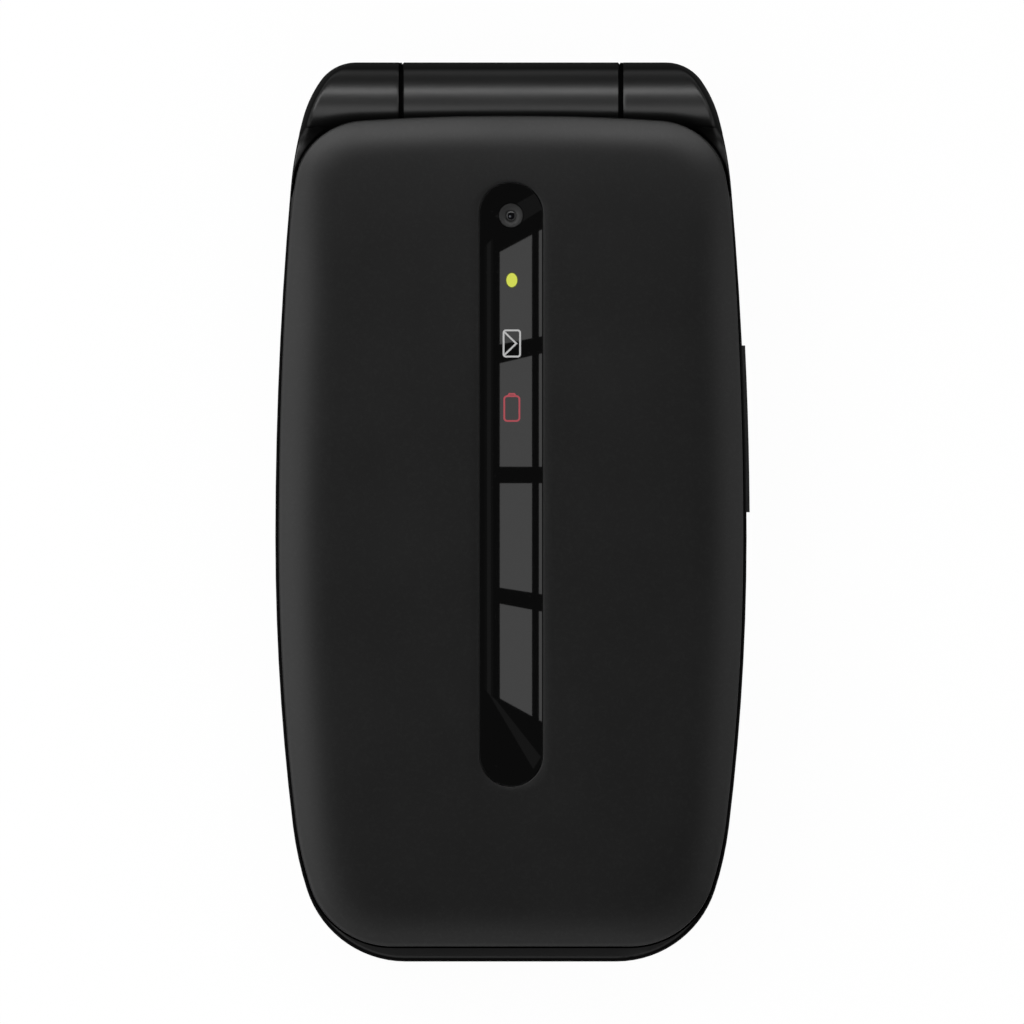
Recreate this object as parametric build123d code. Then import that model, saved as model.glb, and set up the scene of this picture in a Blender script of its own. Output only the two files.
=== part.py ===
from build123d import *

import os
from dataclasses import dataclass, replace
from math import asin, cos, degrees, radians, sin

# A clamshell phone, closed and lying on its back: keypad half, friction hinge and lid half.
# X runs across the phone, Y along it with the hinge at +Y, Z up through its thickness.
# The origin is the middle of the footprint, on the surface that the phone lies on.
# All sizes are millimetres.

# ---- Overall form -------------------------------------------------------------------
phone_length = 106.0
phone_width = 55.6
widest_y = -3.0  # the sides swell most a little nearer the tail
base_thickness = 11.5
tray_depth = 0.5  # the keypad deck lies this far below the base's rim
rim_width = 1.6
lid_gap = 0.3  # open air between the closed halves
lid_thickness = 8.2
wall = 1.4
floor_thickness = 1.2
back_edge_radius = 3.0
seam_edge_radius = 0.7

# Each end of an outline runs from its straight edge to the widest point by tangent arcs:
# their radii, and the angles of heading in degrees where each one ends. The last arc is solved.
base_head_radii, base_head_angles = (5.1, 14.0, 50.0), (55.0, 75.0, 85.0)
base_tail_radii, base_tail_angles = (12.2, 40.0), (72.0, 83.0)
lid_crown_radius = 230.0  # the lid's edge beside the barrel bows a little
lid_shoulder = 11.256  # from the end of that bow to the lid's side
lid_head_radii, lid_head_angles = (8.3, 60.0), (80.0, 86.0)
lid_tail_radii, lid_tail_angles = (10.1, 40.0), (72.0, 83.0)
lid_side_reveal = 0.5
lid_tail_reveal = 1.95
lid_head_reveal = 6.3

# ---- Hinge --------------------------------------------------------------------------
hinge_height = 14.4
barrel_radius = 4.2
barrel_length = 25.8
knuckle_gap = 0.3  # air between the barrel's ends and the knuckles
saddle_gap = 0.3  # air round the barrel and the knuckles
saddle_wall = 1.2
base_tuck = 0.8  # the base stands this far in front of the knuckles' backs
shelf_drop = 0.6  # step below the deck that the open lid's lip turns into
web_angle = 50.0  # where the knuckles' round backs run into their webs
can_radius = 2.9
can_length = 11.6
can_wall = 0.5
running_gap = 0.05
seat_gap = 0.04
spindle_radius = 0.75
shaft_radius = 1.9
shaft_flat = 1.45  # half the distance across the shaft's two flats
shaft_grip = 6.0  # how far the shaft reaches into its knuckle
cam_thickness = 1.6
cam_gap = 0.15
spring_turns = 4
spring_rim = 0.55
bush_radius = 2.4
bush_wall = 0.55
bush_length = 9.0
bush_grip = 4.0
neck_width = 20.0
neck_length = 4.6
neck_thickness = 3.7
neck_floor = 1.6  # height of the neck above the lid's inner face

# ---- Keypad half: stack from the back up -----------------------------------------------
cover_thickness = 1.2
cover_margin = 4.3  # from the base's outline to the removable cover
cover_screw_air = 5.7  # from the cover's head edge to the head screws
cover_corner = 3.0
cover_gap = 0.15
ledge_thickness = 0.8
battery_side_room = 10.8  # from the battery to the phone's side
battery_length = 54.0
battery_roof_air = 0.5
battery_edge = 1.2
battery_gap = 0.3
bay_jack_air = 1.95  # between the bay's tail wall and the headset socket
bay_wall = 0.9
bay_roof = 0.7
board_depth = 2.9  # board's underside below the deck's
board_thickness = 0.8
board_margin = 2.9
case_seam_rise = 1.0  # from the board's underside to the cases' seam
tongue_depth = 0.7
tongue_wall = 0.6
tongue_gap = 0.1
deck_thickness = 1.1
contact_block = (11.0, 3.4)
contact_roof_air = 0.95
contact_pitch = 3.0
contact_blade = (1.2, 0.6, 2.4)
screw_shank = 0.8
screw_head = 1.3
screw_head_depth = 1.1
screw_boss = 2.0
tail_screw_inset, tail_screw_setback = 12.3, 6.4  # from the phone's side and tail
head_screw_inset, head_screw_setback = 7.3, 10.6  # from the phone's side and the hinge

# ---- Keypad ---------------------------------------------------------------------------
keypad_side_margin = 6.0  # from the outer columns to the phone's side
keypad_tail_margin = 9.8
keypad_head_margin = 19.6  # from the top row to the compass ring's middle
key_rows, key_columns = 4, 3
key_spacing = 1.4  # between neighbouring number keys
key_corner = 2.6
key_edge = 0.6
key_stand = 0.5  # keys stand this far above the deck
key_window_gap = 0.25
key_flange = 0.5
key_flange_thickness = 0.55
key_stem = 1.6
key_stem_depth = 0.3
key_travel = 0.25
digit_names = (("key_star", "key_0", "key_hash"), ("key_7", "key_8", "key_9"),
               ("key_4", "key_5", "key_6"), ("key_1", "key_2", "key_3"))
nub_radius = 0.5
nub_height = 0.1
side_key_margin = 5.2  # from the side keys to the phone's side
side_key_width = 9.8
soft_key_rise, soft_key_height = 8.2, 8.6
call_key_fall, call_key_height = 7.4, 12.6
nav_setback = 28.2  # from the hinge to the compass ring's middle
nav_side_air = 2.0  # from the compass ring to the side keys
nav_stand = 0.3
nav_inner_radius = 4.8
nav_flange = 0.6
ok_radius = 4.3
ok_flange = 0.6
nav_pad_thickness = 0.2
nav_lift = 0.3  # air between the rocking pad and the ring
nav_dome_inset = 2.8  # from the ring's edge to its domes
dome_film = 0.13
dome_height = 0.4
dome_radius = 2.2
dome_sides = 8
film_margin = 1.6

# ---- Sockets, sounders and side key ------------------------------------------------------
usb_width, usb_height, usb_length = 8.94, 3.2, 7.3
usb_corner = 1.5
usb_sheet = 0.35
usb_tongue = (6.7, 0.7, 5.0)
jack_screw_air = 1.35  # from the socket to the tail screw's tower
jack_bore = 1.75  # radius of the plug's way in
jack_body = 2.35
jack_length = 13.0
jack_bore_depth = 12.0
jack_air = 0.05  # from the socket to the board
microphone_inset, microphone_setback = 18.3, 4.8  # from the phone's side and tail
microphone_radius, microphone_height = 2.0, 1.4
microphone_hole = 0.6
speaker_screw_air = 2.0  # from the loudspeaker to the head screw's tower
speaker_setback = 10.4  # from the hinge to the loudspeaker's middle
speaker_size = (15.0, 7.6, 3.3)
speaker_rim = 1.0
speaker_dish = 0.6
speaker_slots = 5
speaker_slot = (1.0, 5.2)
speaker_slot_pitch = 2.2
antenna_depth = 4.6
antenna_thickness = 3.4
antenna_margin = 2.2
antenna_lift = 0.3  # clears the case's inner fillet
motor_inset, motor_setback = 6.1, 29.0
motor_air = 0.7  # from the motor to the board
motor_radius, motor_length = 1.9, 8.0
motor_shaft_radius, motor_shaft_air = 0.4, 0.6
motor_weight_radius, motor_weight_length = 1.7, 2.6
motor_weight_cut = 1.0  # the weight is cut away above this height over its rim
volume_length = 19.7
volume_setback = 38.95  # from the hinge to the rocker's middle
volume_height = 2.6
volume_stand = 0.4
volume_gap = 0.3
volume_depth = 2.3
volume_flange = 0.5
volume_flange_thickness = 0.45
volume_switch_air = 0.85  # to the rocker's back, which follows the curved side
volume_top_gap = 0.3
switch_size = (2.4, 17.0, 1.6)
switch_button = (0.5, 2.2, 1.0)
switch_button_pitch = 13.0
card_size = (26.0, 14.4, 1.2)
card_pitch = 18.0
can_size = (13.0, 8.5, 1.6)
can_corner = 0.8
can_spacing = 3.4
can_contact_air = 2.4  # from the contact room's wall to the cans
nail_notch_radius = 2.6

# ---- Lid: stack from its inner face up ---------------------------------------------------
frame_thickness = 1.5
cover_seam_height = 1.6  # above the lid's inner face
cover_top_thickness = 1.2
lid_wall = 1.3
roll_drop = 1.1
roll_width = 6.5
roll_inner_radius = 24.0
roll_outer_radius = 1.0
window_width = 7.43
window_head_margin, window_tail_margin = 7.9, 18.85  # from the lid's ends
window_thickness = 0.75
window_gap = 0.06
window_ledge = 1.0
window_sink = 0.05
camera_setback = 3.9  # from the window's head end
camera_ring_radius = 1.42
camera_ring_bore = 0.8
camera_size = (6.5, 6.5, 1.5)
camera_barrel_radius = 2.2
camera_pupil = 0.55
lamp_setbacks = (7.6, 15.05, 22.6)  # from the camera
lamp_size = (1.6, 1.6, 0.6)
guide_width, guide_thickness, guide_overrun = 4.6, 0.8, 2.6
guide_post = 1.0
lid_board_depth = 3.9  # board's underside below the lid's top
lid_board_thickness = 0.8
lid_board_margin = 3.2
glass_side_margin, glass_tail_margin, glass_head_margin = 2.8, 10.05, 21.7  # from the lid's edge
glass_corner = 3.0
glass_thickness = 0.95
glass_gap = 0.1
display_opening_margin = (2.3, 3.6)  # from the glass's edge to the opening
display_overlap = (1.1, 1.9)  # the module reaches this far past the opening
display_board_air = 0.3
display_corner = 1.0
seat_lift = 0.1  # small air under pieces that lie on a plate
earpiece_setback = 5.05
earpiece_size = (12.0, 6.2)
earpiece_board_air = 0.7
earpiece_corner = 1.4
earpiece_slot = (9.0, 1.5)
mesh_thickness = 0.3
magnet_inset, magnet_setback = 15.3, 5.45  # from the phone's side and the lid's tail
magnet_size = (6.0, 3.2, 1.6)
lid_tail_screw_inset, lid_tail_screw_setback = 8.1, 6.45  # from the lid's side and tail
lid_head_screw_inset, lid_head_screw_setback = 6.7, 7.7  # from the lid's side and head
neck_screw_inset, neck_screw_setback = 3.0, 3.9  # from the neck's side and front
lid_screw_boss = 1.9
lid_screw_air = 0.79  # from a screw's tip to the end of its hole
tail_bumper_x, tail_bumper_setback = 11.5, 2.45
head_bumper_inset, head_bumper_setback = 4.7, 10.1
bumper_radius = 1.4
bumper_air = 0.05
bumper_root = 0.6
flex_thickness = 0.2
flex_width = 4.0
flex_roll_radius = 1.35

def cosd(angle):
    """Cosine of an angle in degrees."""
    return cos(radians(angle))


def sind(angle):
    """Sine of an angle in degrees."""
    return sin(radians(angle))


# ---- Places worked out from the sizes above ----------------------------------------------
hinge_back_y = phone_length / 2
tail_y = -phone_length / 2
hinge_y = hinge_back_y - barrel_radius
deck_top = base_thickness - tray_depth
lid_inner = base_thickness + lid_gap
lid_top = lid_inner + lid_thickness
cover_seam = lid_inner + cover_seam_height
knuckle_x = barrel_length / 2 + knuckle_gap
saddle_radius = barrel_radius + saddle_gap
deck_under = deck_top - deck_thickness
recess_top = cover_thickness + cover_gap
board_height = deck_under - board_depth
case_seam = board_height + case_seam_rise
bay_roof_under = board_height - seat_lift - bay_roof
battery_floor = recess_top + cover_gap
battery_thickness = bay_roof_under - battery_floor - battery_roof_air
contact_floor = battery_floor + cover_gap
contact_height = bay_roof_under - contact_floor - contact_roof_air
jack_height = board_height - jack_body - jack_air
motor_height = board_height - motor_radius - motor_air
board_top = board_height + board_thickness
tail_screw_x, tail_screw_y = phone_width / 2 - tail_screw_inset, tail_y + tail_screw_setback
head_screw_x, head_screw_y = phone_width / 2 - head_screw_inset, hinge_y - head_screw_setback
cover_head_y = head_screw_y - cover_screw_air
jack_x = jack_screw_air + jack_body + screw_boss - tail_screw_x
jack_start_y = tail_y + jack_length + wall / 4
microphone_x, microphone_y = phone_width / 2 - microphone_inset, tail_y + microphone_setback
speaker_x = speaker_screw_air + speaker_size[0] / 2 + screw_boss - head_screw_x
speaker_y = hinge_y - speaker_setback
motor_x, motor_y = phone_width / 2 - motor_inset, tail_y + motor_setback
volume_middle_y = hinge_y - volume_setback
nav_y = hinge_y - nav_setback
soft_key_y, call_key_y = nav_y + soft_key_rise, nav_y - call_key_fall
side_key_x = phone_width / 2 - side_key_margin - side_key_width / 2
nav_radius = side_key_x - side_key_width / 2 - nav_side_air
nav_dome_radius = nav_radius - nav_dome_inset
key_pitch_x = (phone_width - 2 * keypad_side_margin + key_spacing) / key_columns
key_pitch_y = (nav_y - keypad_head_margin - tail_y - keypad_tail_margin + key_spacing) / key_rows
key_width, key_height = key_pitch_x - key_spacing, key_pitch_y - key_spacing
bottom_row_y = tail_y + keypad_tail_margin + key_height / 2
film_top = board_top + seat_lift / 2 + dome_film
dome_top = film_top + dome_height
key_foot = dome_top + key_travel + seat_gap
key_flange_under = key_foot + key_stem_depth
key_top = deck_top + key_stand
nav_pad_under = key_foot
nav_ring_under = nav_pad_under + nav_pad_thickness + nav_lift
frame_top = lid_inner + frame_thickness
lid_board_under = lid_top - lid_board_depth
lid_board_top = lid_board_under + lid_board_thickness
window_top = lid_top - window_sink
window_under = window_top - window_thickness
cover_ceiling = lid_top - cover_top_thickness
neck_under = lid_inner + neck_floor
neck_top = neck_under + neck_thickness
neck_front_y = hinge_y - saddle_radius - saddle_wall - neck_length
lid_board_head_y = neck_front_y - saddle_gap
board_head_y = hinge_y + 2 * flex_thickness
flex_height = lid_board_under - flex_thickness - seat_gap
battery_width = phone_width - 2 * battery_side_room
battery_tail_y = jack_start_y + bay_jack_air + bay_wall + battery_gap
battery_middle_y = battery_tail_y + battery_length / 2
battery_head_y = battery_tail_y + battery_length
contact_y = battery_head_y + contact_block[1] / 2 + 2 * battery_gap + contact_blade[1]
barrel_end = barrel_length / 2
web_half = barrel_radius * cosd(web_angle)

lid_side_x = phone_width / 2 - lid_side_reveal
lid_tail_y = tail_y + lid_tail_reveal
lid_head_y = hinge_back_y - lid_head_reveal
lid_screw_places = (
    (lid_side_x - lid_tail_screw_inset, lid_tail_y + lid_tail_screw_setback),
    (lid_side_x - lid_head_screw_inset, lid_head_y - lid_head_screw_setback),
    (neck_width / 2 - neck_screw_inset, neck_front_y + neck_screw_setback))
bumper_places = (
    (tail_bumper_x, lid_tail_y + tail_bumper_setback),
    (lid_side_x - head_bumper_inset, lid_head_y - head_bumper_setback))
glass_tail_y, glass_head_y = lid_tail_y + glass_tail_margin, lid_head_y - glass_head_margin
glass_size = (2 * (lid_side_x - glass_side_margin), glass_head_y - glass_tail_y)
display_y = (glass_head_y + glass_tail_y) / 2
display_opening = (glass_size[0] - 2 * display_opening_margin[0],
                   glass_size[1] - 2 * display_opening_margin[1])
display_thickness = lid_board_under - frame_top - seat_lift - display_board_air
display_size = (display_opening[0] + 2 * display_overlap[0],
                display_opening[1] + 2 * display_overlap[1])
earpiece_y = lid_tail_y + earpiece_setback
magnet_x, magnet_y = magnet_inset - phone_width / 2, lid_tail_y + magnet_setback
window_head_y, window_tail_y = lid_head_y - window_head_margin, lid_tail_y + window_tail_margin
window_length = window_head_y - window_tail_y
window_middle_y = (window_head_y + window_tail_y) / 2
camera_y = window_head_y - camera_setback
lamp_places = [camera_y - setback for setback in lamp_setbacks]


# ---- Plan outlines ------------------------------------------------------------------------
@dataclass(frozen=True)
class Outline:
    """Closed plan outline, symmetric about Y, widest at widest_y."""

    half_width: float
    head_reach: float
    tail_reach: float
    head_arcs: tuple
    tail_arcs: tuple

    def inset(self, distance):
        """The same outline, every side moved in by a distance."""
        head_arcs, tail_arcs = [tuple((radius - distance, heading) for radius, heading in chain)
                                for chain in (self.head_arcs, self.tail_arcs)]
        return Outline(self.half_width - distance, self.head_reach - distance,
                       self.tail_reach - distance, head_arcs, tail_arcs)

    def end_edges(self, reach, chain, side):
        """Straight end and right-hand arcs of one end: side is +1 at the head, -1 at the tail."""
        steps, heading, drop = [], 0.0, 0.0
        for radius, end_heading in chain:
            steps.append((radius, heading, end_heading))
            drop += radius * (cosd(heading) - cosd(end_heading))
            heading = end_heading
        steps.append(((reach - drop) / cosd(heading), heading, 90.0))
        flat = self.half_width - sum(r * (sind(b) - sind(a)) for r, a, b in steps)
        end_y = widest_y + side * reach
        straight = Line((-flat, end_y), (flat, end_y))
        curves = [straight]
        for radius, start, end in steps:
            curves.append(JernArc(curves[-1] @ 1, curves[-1] % 1, radius, side * (start - end)))
        return straight, curves[1:]

    def face(self):
        """The outline as a flat face at height zero."""
        head, head_curves = self.end_edges(self.head_reach, self.head_arcs, 1)
        tail, tail_curves = self.end_edges(self.tail_reach, self.tail_arcs, -1)
        right = head_curves + tail_curves
        left = [mirror(curve, about=Plane.YZ) for curve in right]
        return make_face([edge for curve in [head, tail] + right + left for edge in curve.edges()])

    def slab(self, bottom, top):
        """The outline extruded between two heights."""
        return Pos(0, 0, bottom) * extrude(self.face(), top - bottom)


def arcs(radii, angles):
    """Pairs of each arc's radius and the heading where it ends."""
    return tuple(zip(radii, angles))


knuckle_outline = Outline(phone_width / 2, hinge_back_y - widest_y, widest_y - tail_y,
                          arcs(base_head_radii, base_head_angles),
                          arcs(base_tail_radii, base_tail_angles))
tucked_radius = base_head_radii[0] - base_tuck / (1 - cosd(base_head_angles[0]))
base_outline = replace(knuckle_outline, head_reach=knuckle_outline.head_reach - base_tuck,
                       head_arcs=arcs((tucked_radius, *base_head_radii[1:]), base_head_angles))
crown_angle = degrees(asin((lid_side_x - lid_shoulder) / lid_crown_radius))
lid_outline = Outline(lid_side_x, lid_head_y - widest_y, widest_y - lid_tail_y,
                      arcs((lid_crown_radius, *lid_head_radii), (crown_angle, *lid_head_angles)),
                      arcs(lid_tail_radii, lid_tail_angles))


# ---- Small helpers --------------------------------------------------------------------------
def block(size, x=0.0, y=0.0, bottom=0.0):
    """Box standing on a height, centred on x and y."""
    return Pos(x, y, bottom) * Box(*size, align=(Align.CENTER, Align.CENTER, Align.MIN))


def post(radius, x, y, bottom, top):
    """Upright cylinder between two heights."""
    return Pos(x, y, bottom) * Cylinder(radius, top - bottom, align=(Align.CENTER,) * 2 + (Align.MIN,))


def hinge_rod(radius, start, end):
    """Cylinder on the hinge axis between two X places."""
    lying = Rot(0, 90, 0) * Cylinder(radius, end - start, align=(Align.CENTER,) * 2 + (Align.MIN,))
    return Pos(start, hinge_y, hinge_height) * lying


def hinge_tube(radius, bore, start, end):
    """Hollow cylinder on the hinge axis."""
    return hinge_rod(radius, start, end) - hinge_rod(bore, start, end)


def rounded_plate(size, corner, x, y, bottom, top):
    """Round-cornered rectangle extruded between two heights."""
    return Pos(x, y, bottom) * extrude(RectangleRounded(*size, corner), top - bottom)


def both_sides(places):
    """Each (x, y) place with its mirror image across the phone."""
    return [(side * x, y) for x, y in places for side in (1, -1)]


def loop_at(part, height):
    """The edges of a part that lie in one level plane."""
    return part.edges().filter_by_position(Axis.Z, height - 0.001, height + 0.001)


def group(solids):
    """Separate solids kept as one node."""
    return Compound(children=[solid.solid() for solid in solids])


# ---- Base half: cases and cover ---------------------------------------------------------------
def cover_plan(gap):
    """Plan of the removable cover, grown by a gap."""
    plan = knuckle_outline.inset(cover_margin - gap).face()
    reach = phone_length
    keep = Pos(0, cover_head_y + gap - reach / 2) * Rectangle(phone_width, reach)
    plan = plan & keep
    return fillet(plan.vertices().group_by(Axis.Y)[-1], cover_corner + gap)


def base_shell():
    """Outer form of the lower case with its hollow."""
    outer = base_outline.slab(0, case_seam)
    outer = fillet(loop_at(outer, 0), back_edge_radius)
    hollow = base_outline.inset(wall).slab(floor_thickness, case_seam)
    return outer - fillet(loop_at(hollow, floor_thickness), back_edge_radius - wall)


def screw_places():
    """Case screws: (x, y, height where the head's recess opens)."""
    tail = [(x, y, recess_top) for x, y in both_sides([(tail_screw_x, tail_screw_y)])]
    head = [(x, y, 0.0) for x, y in both_sides([(head_screw_x, head_screw_y)])]
    return tail + head


def volume_band(outward, inward, grow):
    """Curved bar that follows the right side, from outward to inward of the base's outline."""
    band = base_outline.inset(-outward).face() - base_outline.inset(inward).face()
    length = volume_length + 2 * grow
    window = Pos(phone_width / 2, volume_middle_y) * Rectangle(phone_width / 2, length)
    bottom = case_seam - volume_top_gap - volume_height - grow
    height = volume_height + 2 * grow
    return Pos(0, 0, bottom) * extrude(band & window, height)


def usb_plan(grow):
    """Section of the data socket, drawn upright and grown by a margin."""
    return RectangleRounded(usb_width + 2 * grow, usb_height + 2 * grow, usb_corner + grow)


usb_height_middle = board_height - seat_gap - usb_height / 2


def tailward(plan, x, height, start_y, length):
    """A plan extruded towards the tail from a Y place."""
    return Pos(x, start_y, height) * Rot(90, 0, 0) * extrude(plan, length)


def rear_case():
    """Lower housing: battery bay, cover recess, screw towers, sockets and speaker grille."""
    case = base_shell()
    inside = base_outline.inset(wall / 2).slab(0, board_height - seat_lift)
    shelf = extrude(cover_plan(cover_gap + ledge_thickness), recess_top + ledge_thickness)
    bay = (battery_width + 2 * battery_gap, battery_length + 2 * battery_gap)
    contact_room = (contact_block[0] + 2 * battery_gap, contact_block[1] + 2 * battery_gap)
    walls = [block((side[0] + 2 * bay_wall, side[1] + 2 * bay_wall, board_height - seat_lift), 0, y)
             for side, y in ((bay, battery_middle_y), (contact_room, contact_y))]
    towers = [post(screw_boss, x, y, 0, board_height - seat_lift) for x, y, _ in screw_places()]
    case += inside & (shelf + walls + towers)
    case -= extrude(cover_plan(cover_gap), recess_top)
    bay_depth = bay_roof_under - recess_top
    case -= block((*bay, bay_depth), 0, battery_middle_y, recess_top)
    case -= block((*contact_room, bay_depth), 0, contact_y, recess_top)
    blade_room = (2 * contact_pitch + 2 * contact_blade[0], contact_room[1], bay_depth)
    case -= block(blade_room, 0, battery_head_y + battery_gap, recess_top)
    for y in card_places():
        window = (card_size[0] + 2 * battery_gap, card_size[1] + 2 * battery_gap, board_height)
        case -= block(window, 0, y, recess_top)
    for x, y, opening in screw_places():
        case -= post(screw_shank + tongue_gap, x, y, 0, board_height)
        case -= post(screw_head + 2 * tongue_gap, x, y, 0, opening + 2 * screw_head_depth)
    rabbet = base_outline.inset(wall / 2 - tongue_gap / 2)
    case -= rabbet.slab(case_seam - tongue_depth - tongue_gap, case_seam)
    case -= tailward(usb_plan(tongue_gap), 0, usb_height_middle, tail_y + 2 * wall, 3 * wall)
    case -= tailward(Circle(jack_body + tongue_gap), jack_x, jack_height,
                     jack_start_y + tongue_gap, jack_length + wall)
    case -= volume_band(volume_stand + wall, volume_depth, volume_gap)
    for step in range(speaker_slots):
        x = speaker_x + (step - (speaker_slots - 1) / 2) * speaker_slot_pitch
        slot = Pos(x, speaker_y) * SlotOverall(speaker_slot[1], speaker_slot[0], rotation=90)
        case -= extrude(slot, 2 * floor_thickness)
    notch_y = tail_y + cover_margin - cover_gap
    return case - post(nail_notch_radius, 0, notch_y, 0, recess_top / 2)


def knuckle_blocks():
    """Both hinge knuckles with the webs that carry them, cut to the phone's outline."""
    profile = Circle(barrel_radius) + Pos(0, -barrel_radius) * Rectangle(2 * web_half, 2 * barrel_radius)
    length = phone_width / 2 - knuckle_x
    turned = Plane(origin=(knuckle_x, hinge_y, hinge_height), x_dir=(0, 1, 0), z_dir=(1, 0, 0))
    bar = turned * extrude(profile, length)
    limit = knuckle_outline.slab(deck_under, hinge_height + 2 * barrel_radius)
    knuckle = bar & limit
    return [knuckle, mirror(knuckle, about=Plane.YZ)]


def front_case():
    """Keypad housing: deck with key windows, tongue, screw bosses and hinge knuckles."""
    case = base_outline.slab(case_seam, base_thickness)
    case = fillet(loop_at(case, base_thickness), seam_edge_radius)
    case -= base_outline.inset(rim_width).slab(deck_top, base_thickness)
    room = (phone_width, 4 * barrel_radius, phone_length)
    case -= block(room, 0, hinge_y - saddle_radius + room[1] / 2, deck_top)
    case -= block(room, 0, hinge_y + web_half + room[1] / 2, deck_top - shelf_drop)
    hollow = base_outline.inset(wall).slab(case_seam, deck_under)
    hollow -= hinge_rod(saddle_radius + saddle_wall, -phone_width, phone_width)
    case -= hollow
    tongue = base_outline.inset(wall / 2 + tongue_gap / 2)
    ring = tongue.slab(case_seam - tongue_depth, case_seam)
    ring -= tongue.inset(tongue_wall).slab(case_seam - tongue_depth, case_seam)
    ring -= volume_band(volume_stand + wall, volume_depth, volume_gap)
    bosses = [post(screw_boss, x, y, board_top + seat_lift, deck_under)
              for x, y, _ in screw_places()]
    case += [ring] + bosses + knuckle_blocks()
    case -= hinge_rod(saddle_radius, -knuckle_x, knuckle_x)
    for plan in key_windows():
        case -= Pos(0, 0, deck_under) * extrude(plan, deck_thickness)
    for x, y, _ in screw_places():
        case -= post(screw_shank, x, y, board_top, deck_top - deck_thickness / 2)
    case -= post(microphone_hole, microphone_x, microphone_y, deck_under, deck_top)
    case -= shaft_key(knuckle_x, knuckle_x + shaft_grip + seat_gap, seat_gap)
    case -= hinge_rod(bush_radius + running_gap, -knuckle_x - bush_grip - knuckle_gap, -knuckle_x)
    flue_x = -knuckle_x - bush_grip - flex_width / 2
    flue = (flex_width + 2 * knuckle_gap, 4 * flex_thickness, hinge_height - case_seam)
    return case - block(flue, flue_x, hinge_y, case_seam) - hinge_rod(
        flex_roll_radius + knuckle_gap, flue_x - flue[0] / 2, -knuckle_x)


def battery_cover():
    """Removable back cover with a softened outer edge."""
    plate = extrude(cover_plan(0), cover_thickness)
    return fillet(loop_at(plate, 0), cover_thickness / 4)


# ---- Base half: what the cases hold ---------------------------------------------------------
def battery():
    """Cell pack with soft long edges and a contact end."""
    pack = block((battery_width, battery_length, battery_thickness), 0, battery_middle_y,
                 battery_floor)
    return fillet(pack.edges().filter_by(Axis.Y), battery_edge)


def contact_places():
    """Middle of each contact blade's tail end."""
    return [(step * contact_pitch, battery_head_y + battery_gap / 2) for step in (-1, 0, 1)]


def battery_contacts():
    """Contact block at the head of the bay, three blades reaching to the battery."""
    body = block((*contact_block, contact_height), 0, contact_y, contact_floor)
    blade_reach = contact_y - contact_block[1] / 2 - battery_head_y - battery_gap / 2
    for x, y in contact_places():
        blade = (contact_blade[0], blade_reach + seat_gap, contact_blade[2])
        body += block(blade, x, y + blade[1] / 2, contact_floor + cover_gap)
    return body


def card_places():
    """Y places of the card readers, side by side along the bay roof."""
    return [battery_middle_y + step * card_pitch for step in (-1, 0, 1)]


def card_sockets():
    """Three card readers that hang under the board through windows in the bay roof."""
    readers = []
    for y in card_places():
        bottom = board_height - seat_gap - card_size[2]
        reader = block(card_size, 0, y, bottom)
        slot = (card_size[0] - 2 * card_size[2], card_size[1], card_size[2] / 2)
        readers.append(reader - block(slot, 0, y - card_size[2], bottom + card_size[2] / 4))
    return group(readers)


def main_board():
    """Circuit board between the cases, bored for the screw bosses."""
    board = knuckle_outline.inset(board_margin).slab(board_height, board_top)
    board -= block((phone_width, phone_length, base_thickness), 0, board_head_y + phone_length / 2)
    for x, y, _ in screw_places():
        board -= post(screw_shank + 2 * tongue_gap, x, y, 0, base_thickness)
    return board


def dome_places():
    """Centre of every switch dome."""
    digits = [(x, y) for _, x, y in digit_keys()]
    sides = [(x, y) for _, x, y, _ in side_keys()]
    compass = [(nav_dome_radius * cosd(a), nav_y + nav_dome_radius * sind(a))
               for a in (0, 90, 180, 270)]
    return digits + sides + compass + [(0, nav_y)]


def dome_sheet():
    """Film on the board that carries one snap dome under each key."""
    bottom = board_top + seat_lift / 2
    width = 2 * (key_pitch_x + key_width / 2 + film_margin / 4)
    top_y = soft_key_y + soft_key_height / 2 + film_margin
    bottom_y = bottom_row_y - key_height / 2
    sheet = rounded_plate((width, top_y - bottom_y), key_corner, 0, (top_y + bottom_y) / 2,
                          bottom, film_top)
    dome = extrude(RegularPolygon(dome_radius, dome_sides), dome_height, taper=45)
    for x, y in dome_places():
        sheet += Pos(x, y, film_top) * dome
    return sheet


def shield_cans():
    """Two pressed cans over the radio parts, under the board's head end."""
    width, depth, height = can_size
    y = contact_y + contact_block[1] / 2 + bay_wall + can_contact_air + depth / 2
    cans = []
    for side in (1, -1):
        can = block(can_size, side * (width + can_spacing) / 2, y, board_height - seat_gap - height)
        cans.append(fillet(can.edges().filter_by(Axis.Z), can_corner))
    return group(cans)


def loudspeaker():
    """Oblong sounder over the grille, its diaphragm ring facing the back."""
    width, depth, height = speaker_size
    bottom = floor_thickness + seat_lift
    body = rounded_plate((width, depth), depth / 3, speaker_x, speaker_y, bottom, bottom + height)
    dish_size = (width - 2 * speaker_rim, depth - 2 * speaker_rim)
    return body - rounded_plate(dish_size, depth / 4, speaker_x, speaker_y,
                                floor_thickness, floor_thickness + speaker_dish)


def antenna():
    """Radio aerial carrier: a crescent block behind the board's head end."""
    plan = base_outline.inset(antenna_margin).face()
    head_y = hinge_back_y - base_tuck - antenna_margin
    plan = plan & (Pos(0, head_y) * Rectangle(phone_width, 2 * antenna_depth))
    return Pos(0, 0, floor_thickness + antenna_lift) * extrude(plan, antenna_thickness)


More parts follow.
